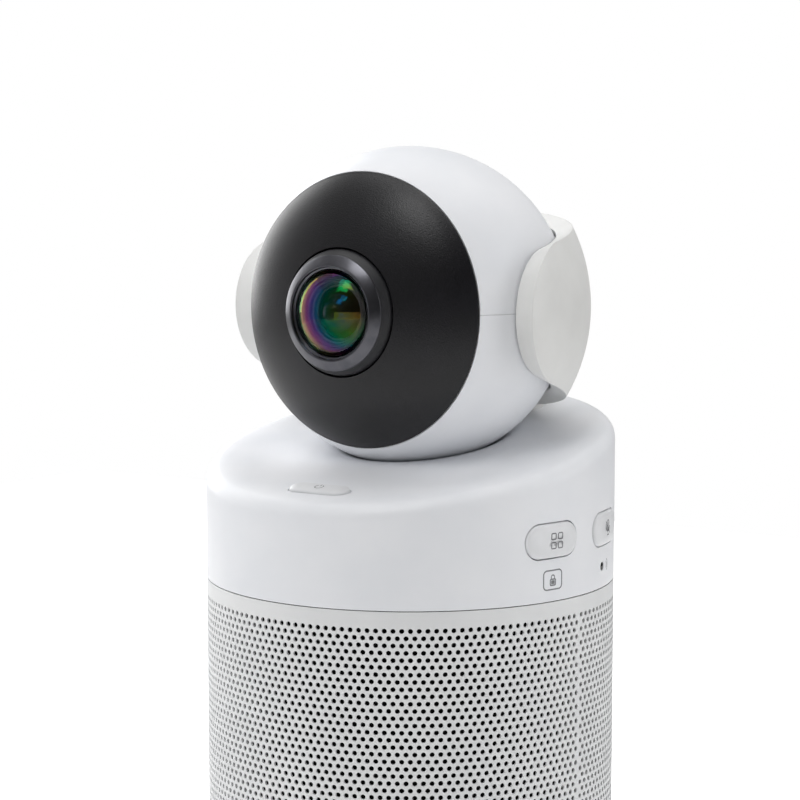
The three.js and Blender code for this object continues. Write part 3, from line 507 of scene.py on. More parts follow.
def cutWindow(band):
    # the holes stop at the sockets, where the socket frame covers their edge
    low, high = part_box("port_panel")
    margin = grille["windowMargin"] * mm

    def inWindow(face):
        spot = middleOf(face)
        across = abs(spot.x) < high.x + margin
        return spot.y > 0 and across and low.z - margin < spot.z < high.z + margin

    choose(band, "FACE", inWindow)
    if any(face.select for face in bmesh.from_edit_mesh(band.data).faces):
        bpy.ops.mesh.delete(type="FACE")


def makeGrille():
    pitch = (2 * math.pi * towerRadius - grille["joint"] * mm) / grille["columns"]
    cell = grilleCell(pitch)
    pairs = grille["rows"] // 2
    start = 0
    for index in range(grille["bands"]):
        rows = 2 * (pairs * (index + 1) // grille["bands"]) - start
        grilleBand(index, cell, pitch, start, rows)
        start += rows
    bpy.data.objects.remove(cell)


def makeLining():
    # the cloth tube behind the holes, open where the sockets are
    bottom, top = grilleBottom + mm, grilleTop - grille["clothTop"] * mm
    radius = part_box("grille_cloth")[1].x
    rolled = rollRound(radius)

    def onTube(across, upward):
        return rolled(Vector(((across - 0.5) * 2 * math.pi * radius, 0, bottom + upward * (top - bottom))))

    piece = netPiece("grille_lining", 180, 90, onTube, Vector((0, 0, bottom)))
    openMesh(piece)
    cutWindow(piece)
    bpy.ops.object.mode_set(mode="OBJECT")
    applied(piece, "SOLIDIFY", thickness=grille["cloth"] * mm, offset=-1)
    place(piece, "tower", "acoustic_cloth", 40, replaces=["grille_cloth"])


makeGrille()
makeLining()
print("grille made")

housing = {
    "sides": 384,
    "wall": 2.2,
    "rim": 3.0,
    "dishRadius": 35.4,
    "dishBlend": 2.2,
    "sag": 0.7,  # how far the slanted top is hollowed
    "keyGap": 0.25,
    "lampHole": 1.0,
}
keys = {
    "rise": sum(corner.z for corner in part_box("mode_button")) / 2,
    "width": 14.6,
    "tall": 7.2,
    "powerWidth": 14.5,
    "powerTall": 5.4,
    "powerProud": 0.45,
    "rootDepth": 2.6,
    "sunk": 0.14,  # how far the crowned face starts below the tower's side
}


slantPoint = Vector((0, 0, seamHeight + 29.4 * mm))  # where the slanted top crosses the tower's axis


def pillPiece(name, width, tall, back, steps):
    # a round-ended bar that faces the front: a ring pulled apart, filled, pushed out and crowned
    clearSelection()
    run = (width - tall) / 2 * mm
    bpy.ops.mesh.primitive_circle_add(vertices=49, radius=tall / 2 * mm, rotation=(math.pi / 2, 0, 0))
    piece = named(name)
    settle()
    openMesh(piece)
    for side in (-1, 1):
        choose(piece, "VERT", lambda vert: vert.co.x * side > 1e-7)
        bpy.ops.transform.translate(value=(side * run, 0, 0))
    choose(piece, "EDGE", lambda edge: edge.calc_length() > run)
    bpy.ops.mesh.subdivide(number_cuts=11)
    bpy.ops.mesh.select_all(action="SELECT")
    bpy.ops.mesh.edge_face_add()
    bpy.ops.transform.translate(value=(0, back * mm, 0))
    bpy.ops.mesh.select_mode(type="FACE")
    bpy.ops.mesh.extrude_region_move(TRANSFORM_OT_translate={"value": (0, -back * mm, 0)})
    for inwards, outwards in steps:
        choose(piece, "FACE", lambda face: len(face.verts) > 20 and middleOf(face).y < back * mm / 2)
        bpy.ops.mesh.inset(thickness=inwards * mm, depth=0)
        bpy.ops.transform.translate(value=(0, -outwards * mm, 0))
    closeMesh()
    return piece


def stationOnTop(distance):
    # matrix that lays a front-facing drawing onto the slanted top, on the front side of its middle
    slope = math.atan2(-topNormal.y, topNormal.z)
    seat = slantPoint - Vector((0, distance, distance * math.tan(slope)))
    return Matrix.Translation(seat) @ Matrix.Rotation(slope - math.pi / 2, 4, "X")


def curved(start, corner, end, steps):
    # a circular corner from start to end, without its first point
    weight = math.cos((math.pi - (start - corner).angle(end - corner)) / 2)
    points = []
    for step in range(1, steps + 1):
        share = step / steps
        parts = ((1 - share) ** 2, 2 * weight * share * (1 - share), share ** 2)
        points.append((start * parts[0] + corner * parts[1] + end * parts[2]) / sum(parts))
    return points


def housingProfile(angle):
    # from the joint up the wall, round the rim, over the slanted top and down into the ball's seat
    outwards = Vector((math.sin(angle), -math.cos(angle), 0))
    rim, blend = housing["rim"] * mm, housing["dishBlend"] * mm

    def onTop(point):
        return point + Vector((0, 0, slantPoint.z - point.y * topNormal.y / topNormal.z - point.z))

    foot = outwards * towerRadius + Vector((0, 0, seamHeight))
    corner = onTop(outwards * towerRadius)
    shoulder = corner - Vector((0, 0, rim))
    points = [foot - outwards * 0.12 * mm, foot - outwards * 0.03 * mm + Vector((0, 0, 0.05 * mm))]
    points.append(foot + Vector((0, 0, 0.15 * mm)))
    points += [points[2].lerp(shoulder, step / 8) for step in range(1, 9)]
    inside = onTop(outwards * (towerRadius - rim))
    points += curved(shoulder, corner, inside, 9)

    distance = (ballCentre - slantPoint).dot(topNormal)
    dish = housing["dishRadius"] * mm
    seat = ballCentre - topNormal * distance
    level = Vector((outwards.x, 0, 0)) + Vector((0, topNormal.z, -topNormal.y)) * outwards.y
    opening = math.acos(distance / dish)
    brim = seat + level * dish * math.sin(opening)
    edge = seat + level * (dish * math.sin(opening) + blend)
    for step in range(1, 15):
        share = step / 14
        sag = housing["sag"] * mm * math.sin(math.pi * share) ** 2
        points.append(inside.lerp(edge, share) - topNormal * sag)

    def inDish(turn):
        return ballCentre + (level * math.sin(turn) - topNormal * math.cos(turn)) * dish

    start = opening - blend / dish
    points += curved(edge, brim, inDish(start), 10)
    points += [inDish(start * (1 - step / 7)) for step in range(1, 8)]
    return points


def makeTopHousing():
    # a net is drawn along those profiles, closed up and given the wall
    sides = housing["sides"]
    profiles = [housingProfile(2 * math.pi * side / sides) for side in range(sides)]
    rows = len(profiles[0]) - 1

    def onHousing(around, along):
        return profiles[round(around * sides) % sides][round(along * rows)]

    body = netPiece("top_cap", sides, rows, onHousing, Vector((0, 0, seamHeight)))
    applied(body, "SOLIDIFY", thickness=housing["wall"] * mm, offset=-1)
    return body


def cutKeyHoles(body):
    gap = 2 * housing["keyGap"]
    for joint in ("mode_press", "mute_press"):
        tool = pillPiece("key_tool", keys["width"] + gap, keys["tall"] + gap, 6, [])
        rolled = rollRound(towerRadius, azimuthOf(joint))
        moveVertices(tool, lambda point: point + Vector((0, -2 * mm, keys["rise"])), rolled)
        carve(body, tool)
    tool = pillPiece("key_tool", keys["powerWidth"] + gap, keys["powerTall"] + gap, 8, [])
    station = stationOnTop(powerDistance())
    moveVertices(tool, lambda point: station @ (point + Vector((0, -3 * mm, 0))))
    carve(body, tool)
    low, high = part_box("status_lamp")
    middle = (low + high) / 2
    drill(body, housing["lampHole"], 8, middle, (math.pi / 2, 0, math.atan2(middle.x, -middle.y)), 32)


def powerDistance():
    low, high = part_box("power_button")
    return -(low.y + high.y) / 2 - 1.0 * mm


body = makeTopHousing()
cutKeyHoles(body)
place(body, "tower", "white_housing", 28, replaces=["top_housing"])
print("top housing made")

crown = [(0.12, 0.3), (0.18, 0.2), (0.28, 0.12), (0.5, 0.08), (0.7, 0.04), (0.7, 0.0)]


def makeKeys():
    for key in ("mode", "mute"):
        piece = pillPiece(f"{key}_key_cap", keys["width"], keys["tall"], keys["rootDepth"], crown)
        rolled = rollRound(towerRadius, azimuthOf(f"{key}_press"))
        moveVertices(piece, lambda point: point + Vector((0, keys["sunk"] * mm, keys["rise"])), rolled)
        place(piece, f"{key}_key", "button_plastic", 50, replaces=[f"{key}_button"])
    piece = pillPiece("power_key_cap", keys["powerWidth"], keys["powerTall"], keys["rootDepth"], crown[:5])
    station = stationOnTop(powerDistance())
    lift = keys["powerProud"] - sum(step[1] for step in crown[:5])
    moveVertices(piece, lambda point: station @ (point + Vector((0, -lift * mm, 0))))
    place(piece, "power_key", "button_plastic", 50, replaces=["power_button"])


def drawnLine(points, width, closed=False):
    # a flat line of ink through points in millimetres, facing the front
    curve = bpy.data.curves.new("line", "CURVE")
    curve.dimensions = "3D"
    curve.bevel_depth = width / 2 * mm
    curve.bevel_resolution = 1
    curve.use_fill_caps = True
    spots = []
    for here, there in zip(points, points[1:] + points[:1] if closed else points[1:]):
        cuts = max(1, math.ceil(math.dist(here, there) / 0.4))  # short enough to bend round the tower
        spots += [Vector(here).lerp(Vector(there), cut / cuts) for cut in range(cuts)]
    if not closed:
        spots.append(Vector(points[-1]))
    spline = curve.splines.new("POLY")
    spline.points.add(len(spots) - 1)
    for point, spot in zip(spline.points, spots):
        point.co = (spot.x * mm, 0, spot.y * mm, 1)
    spline.use_cyclic_u = closed
    line = bpy.data.objects.new("line", curve)
    bpy.context.scene.collection.objects.link(line)
    pick(line)
    bpy.ops.object.convert(target="MESH")
    return bpy.context.active_object


def arc(centre, radius, start, end, steps=16):
    angles = [math.radians(start + (end - start) * i / steps) for i in range(steps + 1)]
    return [(centre[0] + radius * math.cos(a), centre[1] + radius * math.sin(a)) for a in angles]


def roundedBox(width, tall, radius):
    x, z = width / 2 - radius, tall / 2 - radius
    return (
        arc((x, z), radius, 0, 90, 5) + arc((-x, z), radius, 90, 180, 5)
        + arc((-x, -z), radius, 180, 270, 5) + arc((x, -z), radius, 270, 360, 5)
    )


def symbol(name, lines, thickness=0.04):
    pieces = [drawnLine(points, width, closed) for points, width, closed in lines]
    pick(*pieces)
    if len(pieces) > 1:
        bpy.ops.object.join()
    piece = named(name)
    widest = max(width for _, width, _ in lines)
    moveVertices(piece, lambda point: Vector((point.x, point.y * thickness / widest, point.z)))
    return piece


def makeSymbols():
    tile = roundedBox(1.25, 1.25, 0.25)
    corners = [(x, z) for x in (-0.95, 0.95) for z in (-0.95, 0.95)]
    tiles = [([(x + a, z + b) for a, b in tile], 0.26, True) for x, z in corners]
    microphone = [
        ([(a, b + 0.55) for a, b in roundedBox(1.1, 2.2, 0.54)], 0.26, True),
        (arc((0, 0.35), 1.1, 180, 360), 0.26, False),
        ([(0, -0.75), (0, -1.5)], 0.26, False),
        ([(-0.6, -1.5), (0.6, -1.5)], 0.26, False),
        ([(-1.35, 1.5), (1.35, -1.3)], 0.26, False),
    ]
    padlock = [
        (roundedBox(5.2, 4.0, 0.85), 0.3, True),
        ([(a, b - 0.5) for a, b in roundedBox(1.5, 1.25, 0.2)], 0.3, True),
        ([(-0.5, -0.5), (0.5, -0.5)], 0.9, False),
        ([(-0.46, 0.1), (-0.46, 0.55)] + arc((0, 0.55), 0.46, 180, 0, 8) + [(0.46, 0.1)], 0.26, False),
    ]
    waves = [(arc((-1.2, 0), radius, -50, 50, 8), 0.24, False) for radius in (0.9, 1.6)]
    power = [(arc((0, 0), 0.95, 125, 415), 0.22, False), ([(0, 0.35), (0, 1.15)], 0.22, False)]
    crownHeight = sum(step[1] for step in crown) - keys["sunk"]
    for name, lines, key, drop, height, shift in (
        ("mode_key_symbol", tiles, "mode", 0, crownHeight, 0.6),
        ("mute_key_symbol", microphone, "mute", 0, crownHeight, 0),
        ("lock_symbol", padlock, "mode", 8.2, 0, 0),
        ("lamp_symbol", waves, "mute", 8.1, 0, 1.2),
    ):
        piece = symbol(name, lines)
        middle = Vector((shift * mm, -height * mm, keys["rise"] - drop * mm))
        moveVertices(piece, lambda point: point + middle, rollRound(towerRadius, azimuthOf(f"{key}_press")))
        place(piece, "tower" if drop else f"{key}_key", "ink")
    piece = symbol("power_key_symbol", power)
    station = stationOnTop(powerDistance())
    moveVertices(piece, lambda point: station @ (point + Vector((0, -keys["powerProud"] * mm, 0))))
    place(piece, "power_key", "ink")


makeKeys()
makeSymbols()
print("keys made")

yoke = {
    "inner": 35.5,
    "wall": 4.0,
    "lobeRadius": 13.8,
    "lobeBack": 2.3,
    "lobeDrop": 0.3,
    "flareTop": 10.2,
    "flareBottom": 15.5,
    "swell": 1.1,  # how much prouder the front of each arm is
    "columns": 150,
    "rows": 44,
    "edge": 0.95,
    "neckWidth": 30,
    "neckDepth": 12,
    "neckFlare": 0.0004,
    "neckFoot": 170,  # heights above the floor
    "neckRise": 26,
    "leanTop": 194,
    "lean": 0.04,  # how fast the neck leans out below that height
}


def lobePoint(angle):
    forward = -yoke["lobeBack"] + yoke["lobeRadius"] * math.cos(angle)
    up = -yoke["lobeDrop"] + yoke["lobeRadius"] * math.sin(angle)
    return forward, up


def flankHeight(azimuth, angle, flare):
    # elevation on the inner ball of a straight flank that starts tangent to the lobe
    inner = yoke["inner"]
    startForward, startUp = lobePoint(angle)
    turn = max(azimuth, math.acos(startForward / math.sqrt(inner ** 2 - startUp ** 2)))
    up = startUp
    for _ in range(12):
        forward = math.sqrt(inner ** 2 - up ** 2) * math.cos(turn)
        up = startUp + math.copysign(math.tan(flare), startUp) * (startForward - forward)
    return math.asin(up / inner)


def yokeDirection(across, upward):
    inner = yoke["inner"]
    flareTop, flareBottom = math.radians(yoke["flareTop"]), math.radians(yoke["flareBottom"])
    lobeTop, lobeBottom = math.pi / 2 - flareTop, -math.pi / 2 + flareBottom
    forward, up = lobePoint(lobeBottom + upward * (lobeTop - lobeBottom))
    endAzimuth = math.acos(forward / math.sqrt(inner ** 2 - up ** 2))
    azimuth = endAzimuth + across * 2 * (math.pi - endAzimuth)
    folded = min(azimuth, 2 * math.pi - azimuth)
    low, high = flankHeight(folded, lobeBottom, flareBottom), flankHeight(folded, lobeTop, flareTop)
    lowEnd, highEnd = flankHeight(0, lobeBottom, flareBottom), flankHeight(0, lobeTop, flareTop)
    share = (math.asin(up / inner) - lowEnd) / (highEnd - lowEnd)
    elevation = low + share * (high - low)
    level = math.cos(elevation)
    return Vector((math.sin(azimuth) * level, -math.cos(azimuth) * level, math.sin(elevation)))


def makeYoke():
    # a net is drawn out over the ball to the yoke's outline, thickened, and its edges rounded
    inner = yoke["inner"] * mm

    def onYoke(across, upward):
        return ballCentre + yokeDirection(across, upward) * inner

    piece = netPiece("yoke_cup", yoke["columns"], yoke["rows"], onYoke, ballCentre)
    applied(piece, "SOLIDIFY", thickness=yoke["wall"] * mm, offset=1, use_even_offset=False)

    def swollen(point):
        out = point - ballCentre
        depth = (out.length - inner) / (yoke["wall"] * mm)
        ahead = min(max((-out.y / mm + 4) / 17, 0), 1)
        return point + out.normalized() * depth * yoke["swell"] * mm * ahead ** 2 * (3 - 2 * ahead)

    moveVertices(piece, swollen)
    sharp = {"limit_method": "ANGLE", "angle_limit": math.radians(40)}
    applied(piece, "BEVEL", width=yoke["edge"] * mm, segments=4, **sharp)
    place(piece, "tower", "yoke_plastic", 40, replaces=["yoke_shell"])


def makeNeck():
    # a round-ended column that widens as it climbs into the cup
    clearSelection()
    width, depth, outer = yoke["neckWidth"], yoke["neckDepth"], yoke["inner"] + yoke["wall"]
    foot = (0, (outer - 1.5 - depth / 2) * mm, yoke["neckFoot"] * mm)
    bpy.ops.mesh.primitive_circle_add(vertices=65, radius=depth / 2 * mm, location=foot)
    neck = named("yoke_neck")
    settle()
    openMesh(neck)
    run = (width - depth) / 2 * mm
    for side in (-1, 1):
        choose(neck, "VERT", lambda vert: vert.co.x * side > 1e-7)
        bpy.ops.transform.translate(value=(side * run, 0, 0))
    bpy.ops.mesh.select_all(action="SELECT")
    bpy.ops.mesh.edge_face_add()
    steps = 20
    for step in range(1, steps + 1):
        climb = (0, 0, yoke["neckRise"] / steps * mm)
        bpy.ops.mesh.extrude_region_move(TRANSFORM_OT_translate={"value": climb})
        wider = (1 + yoke["neckFlare"] * step ** 2) / (1 + yoke["neckFlare"] * (step - 1) ** 2)
        bpy.ops.transform.resize(value=(wider, 1, 1), center_override=(0, foot[1], 0))
    closeMesh()
    clearSelection()
    room = (yoke["inner"] + 0.2) * mm
    bpy.ops.mesh.primitive_uv_sphere_add(segments=96, ring_count=48, radius=room, location=ballCentre)
    settle()
    carve(neck, named("room"))

    def drawnIn(point):
        # near its top the column leans in to the back of the cup
        below = max(yoke["leanTop"] - point.z / mm, 0)
        limit = (outer - 0.15 + yoke["lean"] * below ** 2) * mm
        room = math.sqrt(max(limit ** 2 - (point.z - ballCentre.z) ** 2, 0))
        share = min(1, room / point.xy.length)
        return Vector((point.x * share, point.y * share, point.z))

    moveVertices(neck, drawnIn)
    place(neck, "tower", "yoke_plastic", 40)


makeYoke()
makeNeck()
print("yoke made")

ball = {"segments": 192, "rings": 96, "wall": 2.0, "edge": 0.18, "pinHole": 3.4}
ball |= {"parting": 0.07, "coverGap": 0.2}
coverEdge = {"radius": 29.387, "height": 19.011}


def makeShell(name, side, node):
    # half of a ball, parted on its equator and open at the front for the cover
    clearSelection()
    bpy.ops.mesh.primitive_uv_sphere_add(
        segments=ball["segments"],
        ring_count=ball["rings"],
        radius=ballRadius,
        location=ballCentre,
        rotation=(math.pi / 2, 0, 0),
    )
    piece = named(name)
    settle()
    openMesh(piece)
    parting = ballCentre + Vector((0, 0, side * ball["parting"] / 2 * mm))
    bpy.ops.mesh.bisect(plane_co=parting, plane_no=(0, 0, side), clear_inner=True, threshold=1e-6)
    bpy.ops.mesh.select_all(action="SELECT")
    front = ballCentre + Vector((0, -(coverEdge["height"] - ball["coverGap"]) * mm, 0))
    bpy.ops.mesh.bisect(plane_co=front, plane_no=(0, -1, 0), clear_outer=True, threshold=1e-6)
    bpy.ops.object.mode_set(mode="OBJECT")
    applied(piece, "SOLIDIFY", thickness=ball["wall"] * mm, offset=-1)
    sharp = {"limit_method": "ANGLE", "angle_limit": math.radians(50)}
    applied(piece, "BEVEL", width=ball["edge"] * mm, segments=3, **sharp)
    drill(piece, ball["pinHole"], 3 * ballRadius / mm, ballCentre, (0, math.pi / 2, 0))
    place(piece, "head", "white_housing", 30, replaces=[node])


makeShell("ball_upper", 1, "head_shell_upper")
makeShell("ball_lower", -1, "head_shell_lower")
print("ball made")

cover = {"control": (24.65, 24.34), "groove": (13.6, 27.3), "wall": 1.7, "steps": 28, "lip": 0.25}
lens = {
    "wellFoot": 13.3,
    "ringOuter": 12.2,
    "ringInner": 9.25,
    "ringTop": 30.8,
    "glassRadius": 8.95,
    "glassEdge": 29.9,
    "glassApex": 34.0,
    "glassThickness": 1.6,
}


def makeCover():
    start = Vector((coverEdge["radius"], coverEdge["height"]))
    control, end = Vector(cover["control"]), Vector(cover["groove"])
    outside = []
    for step in range(cover["steps"] + 1):
        share = step / cover["steps"]
        outside.append(start * (1 - share) ** 2 + control * 2 * share * (1 - share) + end * share ** 2)
    lip = cover["lip"]
    profile = [(start.x - 1.2, start.y + 0.05), (start.x - lip, start.y + 0.02)]
    profile += [(start.x - lip * 0.1, start.y + lip * 0.35)]
    profile += [tuple(point) for point in outside[1:-1]]
    profile += [(end.x + 0.12, end.y - 0.03), (end.x, end.y - 0.15), (end.x, end.y - cover["wall"])]
    profile += [
        (point.x - 0.9, max(point.y - cover["wall"], start.y + 0.05)) for point in reversed(outside[4:-2])
    ]
    piece = spunPiece("cover_dome", profile, 160, "front", ballCentre)
    place(piece, "head", "black_cover", 35, replaces=["front_cover"])


def domeProfile(radius, edge, apex, steps):
    # an arc from the rim up to the axis
    sag = apex - edge
    curve = (radius ** 2 + sag ** 2) / (2 * sag)
    reach = math.asin(radius / curve)
    points = []
    for step in range(steps + 1):
        angle = reach * (1 - step / steps)
        points.append((curve * math.sin(angle) if step < steps else 0, apex - curve * (1 - math.cos(angle))))
    return points


def makeLens():
    top, outer, inner = lens["ringTop"], lens["ringOuter"], lens["ringInner"]
    ring = [(inner - 0.05, top - 2.6), (outer - 0.4, top - 2.6), (outer - 0.05, top - 1.55)]
    ring += [(outer - 0.05, top - 1.25), (inner + 0.85, top), (inner + 0.5, top - 0.05)]
    ring += [(inner + 0.4, top - 0.7), (inner, top - 0.8)]
    piece = spunPiece("lens_trim_ring", rounded(ring, 0.12, 3), 144, "front", ballCentre)
    place(piece, "head", "lens_trim", 45, replaces=["lens_bezel"])

    foot, level = lens["wellFoot"], cover["groove"][1]
    well = [(inner + 0.2, level - 1.6), (foot, level - 1.6), (foot, level - 0.2), (foot - 0.25, level + 0.6)]
    well += [(outer + 0.15, top - 1.7), (outer - 0.1, top - 1.4), (outer - 0.5, top - 1.6)]
    well += [(inner + 0.2, top - 2.8)]
    piece = spunPiece("lens_collar", rounded(well, 0.3, 3), 144, "front", ballCentre)
    place(piece, "head", "lens_well", 45)

    radius, edge, apex = lens["glassRadius"], lens["glassEdge"], lens["glassApex"]
    glass = domeProfile(radius - 1.2, edge - 0.4, apex - lens["glassThickness"], 16)[::-1]
    glass += [(radius - 1.1, edge - 0.9), (radius - 0.1, edge - 0.9)] + domeProfile(radius, edge, apex, 22)
    piece = spunPiece("lens_front_glass", glass, 128, "front", ballCentre)
    place(piece, "head", "lens_glass", 40, replaces=["front_element"])

    steps = [(8.6, 28.7), (8.6, 29.0), (6.9, 29.0), (6.7, 28.5), (6.3, 28.4), (6.1, 27.9)]
    steps += [(5.75, 27.8), (5.6, 27.2), (5.2, 27.2), (5.2, 26.2), (8.6, 26.2)]
    piece = spunPiece("lens_baffle", rounded(steps, 0.06, 2), 96, "front", ballCentre)
    place(piece, "head", "lens_well", 40)

    for name, radius, edge, apex, finish in (
        ("lens_second_element", 5.15, 26.9, 30.0, "violetGlass"),
        ("lens_third_element", 3.3, 29.0, 30.5, "blueGlass"),
        ("lens_fourth_element", 1.9, 30.2, 30.95, "tealGlass"),
    ):
        profile = [(0, edge - 0.6), (radius, edge - 0.6)] + domeProfile(radius, edge, apex, 14)
        piece = spunPiece(name, profile, 80, "front", ballCentre)
        place(piece, "head", finish, 40)


makeCover()
makeLens()
print("cover and lens made")

base = {"chamfer": 2, "bottom": 1, "top": 8, "footInner": 29.9, "footOuter": 39.1}
base |= {"tripodHole": 6.5, "floor": 4, "wall": 4, "footSeat": 2.4, "screwHole": 2.95}
sockets = {"lip": 2.2, "proud": 0.35, "recess": 1.1, "corner": 2.2, "border": 1.4, "inletHole": 3.1}


def makeBase():
    radius = towerRadius / mm
    low, high = base["bottom"], base["top"]
    inner, outer = base["footInner"] - 0.3, base["footOuter"] + 0.3
    hole, seat = base["tripodHole"], base["footSeat"]
    floor, inside = low + base["floor"], radius - base["wall"]
    profile = [(hole, low), (inner, low), (inner, seat), (outer, seat), (outer, low)]
    profile += [(radius - base["chamfer"], low), (radius, low + base["chamfer"]), (radius, high - 0.5)]
    profile += [(radius - 0.5, high), (inside, high), (inside, floor), (hole, floor)]
    piece = spunPiece("base_tray", rounded(profile, 0.5, 3), 160)
    for index in range(3):
        low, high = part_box(f"base_screw_{index + 1}")
        middle = (low + high) / 2
        drill(piece, base["screwHole"], 12, (middle.x, middle.y, 0), sides=40)
    place(piece, "tower", "base_plastic", 40, replaces=["base_plate"])
    inner, outer = base["footInner"], base["footOuter"]
    foot = [(inner, 0.0), (outer, 0.0), (outer, 2.1), (inner, 2.1)]
    piece = spunPiece("foot_pad", rounded(foot, 0.45, 3), 128)
    place(piece, "tower", "rubber", 40, replaces=["foot_ring"])


def makeSocketFrame():
    low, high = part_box("port_panel")
    border, corner = sockets["border"], sockets["corner"]
    width, tall = (high.x - low.x) / mm + 2 * border, (high.z - low.z) / mm + 2 * border
    middle = (low.z + high.z) / 2
    clearSelection()
    bpy.ops.mesh.primitive_circle_add(vertices=48, radius=corner * mm, rotation=(math.pi / 2, 0, 0))
    piece = named("socket_frame")
    settle()
    openMesh(piece)
    bpy.ops.transform.rotate(value=math.pi / 48, orient_axis="Y", center_override=(0, 0, 0))
    for across in (-1, 1):
        choose(piece, "VERT", lambda vert: vert.co.x * across > 0)
        bpy.ops.transform.translate(value=(across * (width / 2 - corner) * mm, 0, 0))
    for upward in (-1, 1):
        choose(piece, "VERT", lambda vert: vert.co.z * upward > 0)
        bpy.ops.transform.translate(value=(0, 0, upward * (tall / 2 - corner) * mm))
    bpy.ops.mesh.select_all(action="SELECT")
    bpy.ops.mesh.edge_face_add()
    bpy.ops.transform.translate(value=(0, 1.6 * mm, middle))
    bpy.ops.mesh.select_mode(type="FACE")
    depth = 1.6 + sockets["proud"] - 0.15
    bpy.ops.mesh.extrude_region_move(TRANSFORM_OT_translate={"value": (0, -depth * mm, 0)})
    for inwards, shift in ((0.15, -0.15), (sockets["lip"] - 0.3, 0), (0.15, sockets["recess"])):
        bpy.ops.mesh.inset(thickness=inwards * mm)
        bpy.ops.transform.translate(value=(0, shift * mm, 0))
    closeMesh()
    usbLow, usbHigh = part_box("usb_c_port")
    usbWidth, usbTall = (usbHigh.x - usbLow.x) / mm + 0.5, (usbHigh.z - usbLow.z) / mm + 0.5
    tool = pillPiece("usb_tool", usbWidth, usbTall, 8, [])
    usbMiddle = -(usbLow.x + usbHigh.x) / 2  # the drawing faces the front, so it is turned round
    moveVertices(tool, lambda point: point + Vector((usbMiddle, -3 * mm, middle)))
    carve(piece, tool)
    pinLow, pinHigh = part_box("dc_inlet_pin")
    inlet = (-(pinLow.x + pinHigh.x) / 2, 0, middle)
    drill(piece, sockets["inletHole"], 16, inlet, (math.pi / 2, 0, 0), 64)
    openMesh(piece)
    bands = 32  # upright cuts that let it bend round the tower
    for index in range(1, bands):
        bpy.ops.mesh.select_all(action="SELECT")
        cut = Vector(((index / bands - 0.5) * width * mm, 0, 0))
        bpy.ops.mesh.bisect(plane_co=cut, plane_no=(1, 0, 0), threshold=1e-6)
    bpy.ops.object.mode_set(mode="OBJECT")
    moveVertices(piece, rollRound(towerRadius, math.pi))
    place(piece, "tower", "base_plastic", 30, replaces=["port_panel"])


def makeLamp():
    low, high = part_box("status_lamp")
    middle = (low + high) / 2
    clearSelection()
    turn = (math.pi / 2, 0, 0)
    bpy.ops.mesh.primitive_cylinder_add(vertices=32, radius=0.85 * mm, depth=1.6 * mm, rotation=turn)
    piece = named("lamp_window")
    settle()
    openMesh(piece)
    choose(piece, "FACE", lambda face: len(face.verts) > 4 and middleOf(face).y < 0)
    bpy.ops.mesh.bevel(offset=0.15 * mm, segments=3, affect="EDGES")
    bpy.ops.object.mode_set(mode="OBJECT")
    rolled = rollRound(towerRadius, math.atan2(middle.x, -middle.y))
    moveVertices(piece, lambda point: point + Vector((0, 0.8 * mm, middle.z)), rolled)
    place(piece, "tower", "light_pipe", 40, replaces=["status_lamp"])


makeBase()
makeSocketFrame()
makeLamp()
print("base and sockets made")

studio = {
    "floorColour": "#ffffff",
    "floorGlow": 0.75,
    "worldLight": (0.06, 0.5),
    "worldSide": (-0.9, 0.2, 0.39),
    "cameraPlace": (261.4, -397.1, 231.7),
    "cameraTarget": (-1.92, -1.27, 183.33),
    "cameraLens": 97.5,
}
# place, aim and size in millimetres, power in watts; fills aren't mirrored in what is glossy
lamps = {
    "leftSoftbox": {"place": (-950, 400, 520), "aim": (0, 0, 190), "size": (800, 800), "power": 5.6},
    "rightSoftbox": {"place": (880, 440, 400), "aim": (0, 0, 170), "size": (600, 900), "power": 3.6},
    "overheadSoftbox": {"place": (0, 160, 1050), "aim": (0, 0, 150), "size": (1000, 900), "power": 4.2},
    "frontSoftbox": {"place": (60, -560, 1000), "aim": (0, 0, 190), "size": (360, 420), "power": 2.6},
    "leftFill": {"place": (-950, -350, 300), "aim": (0, 0, 160), "size": (900, 900), "power": 2.2},
    "lowFill": {"place": (200, -900, 70), "aim": (0, 0, 180), "size": (900, 300), "power": 1.2},
}


def aimAt(thing, target):
    direction = Vector(target) * mm - thing.location
    thing.rotation_mode = "QUATERNION"
    thing.rotation_quaternion = direction.to_track_quat("-Z", "Y")


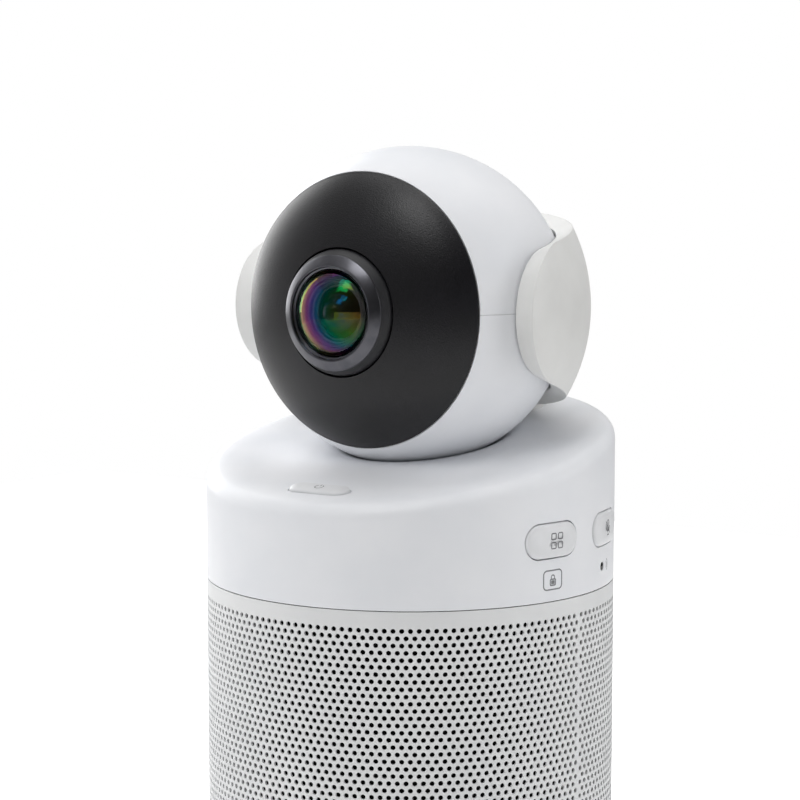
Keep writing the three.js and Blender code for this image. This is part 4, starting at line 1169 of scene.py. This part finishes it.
def makeStudio():
    clearSelection()
    bpy.ops.mesh.primitive_plane_add(size=1.8)
    floor = named("studio_floor")
    paper = {"Roughness": 0.9, "Base Color": linear(studio["floorColour"])}
    material, tree, shader, _ = startFinish("Paper_sweep_matt_white", paper)
    shader.inputs["Emission Color"].default_value = (1, 1, 1, 1)
    # lit from behind: it looks white without throwing as much light on the object
    seen = addNode(tree, "LightPath").outputs["Is Camera Ray"]
    glow = addNode(tree, "MapRange", {"To Min": 0, "To Max": studio["floorGlow"]}, {"Value": seen})
    tree.links.new(glow.outputs["Result"], shader.inputs["Emission Strength"])
    floor.data.materials.append(material)

    world = bpy.data.worlds.new("studio")
    bpy.context.scene.world = world
    world.use_nodes = True
    # seen as white, but the light it throws falls off from the left to the right front
    tree = world.node_tree
    tree.nodes.clear()
    direction = addNode(tree, "TexCoord").outputs["Generated"]
    side = addNode(tree, "VectorMath", {"operation": "DOT_PRODUCT", 1: studio["worldSide"]}, {0: direction})
    dark, bright = studio["worldLight"]
    limits = {"From Min": -0.4, "From Max": 1, "To Min": dark, "To Max": bright}
    fall = addNode(tree, "MapRange", limits, {"Value": side.outputs["Value"]}).outputs["Result"]
    seen = addNode(tree, "LightPath").outputs["Is Camera Ray"]
    strength = addNode(tree, "Math", {"operation": "MAXIMUM"}, {0: fall, 1: seen}).outputs["Value"]
    background = addNode(tree, "Background", {"Color": (1, 1, 1, 1)}, {"Strength": strength})
    addNode(tree, "OutputWorld", {}, {"Surface": background.outputs["Background"]})

    for name, settings in lamps.items():
        light = bpy.data.lights.new(name, "AREA")
        light.shape = "RECTANGLE"
        light.size, light.size_y = (side * mm for side in settings["size"])
        light.energy = settings["power"]
        lamp = bpy.data.objects.new(name, light)
        lamp.location = Vector(settings["place"]) * mm
        aimAt(lamp, settings["aim"])
        lamp.visible_glossy = "Fill" not in name
        bpy.context.scene.collection.objects.link(lamp)

    camera = bpy.data.objects.new("camera", bpy.data.cameras.new("camera"))
    camera.data.sensor_width = 36
    camera.data.lens = studio["cameraLens"]
    camera.data.clip_start = 0.01
    camera.location = Vector(studio["cameraPlace"]) * mm
    aimAt(camera, studio["cameraTarget"])
    bpy.context.scene.collection.objects.link(camera)
    bpy.context.scene.camera = camera
    bpy.context.scene.view_settings.view_transform = "Standard"


makeStudio()
print("studio made")
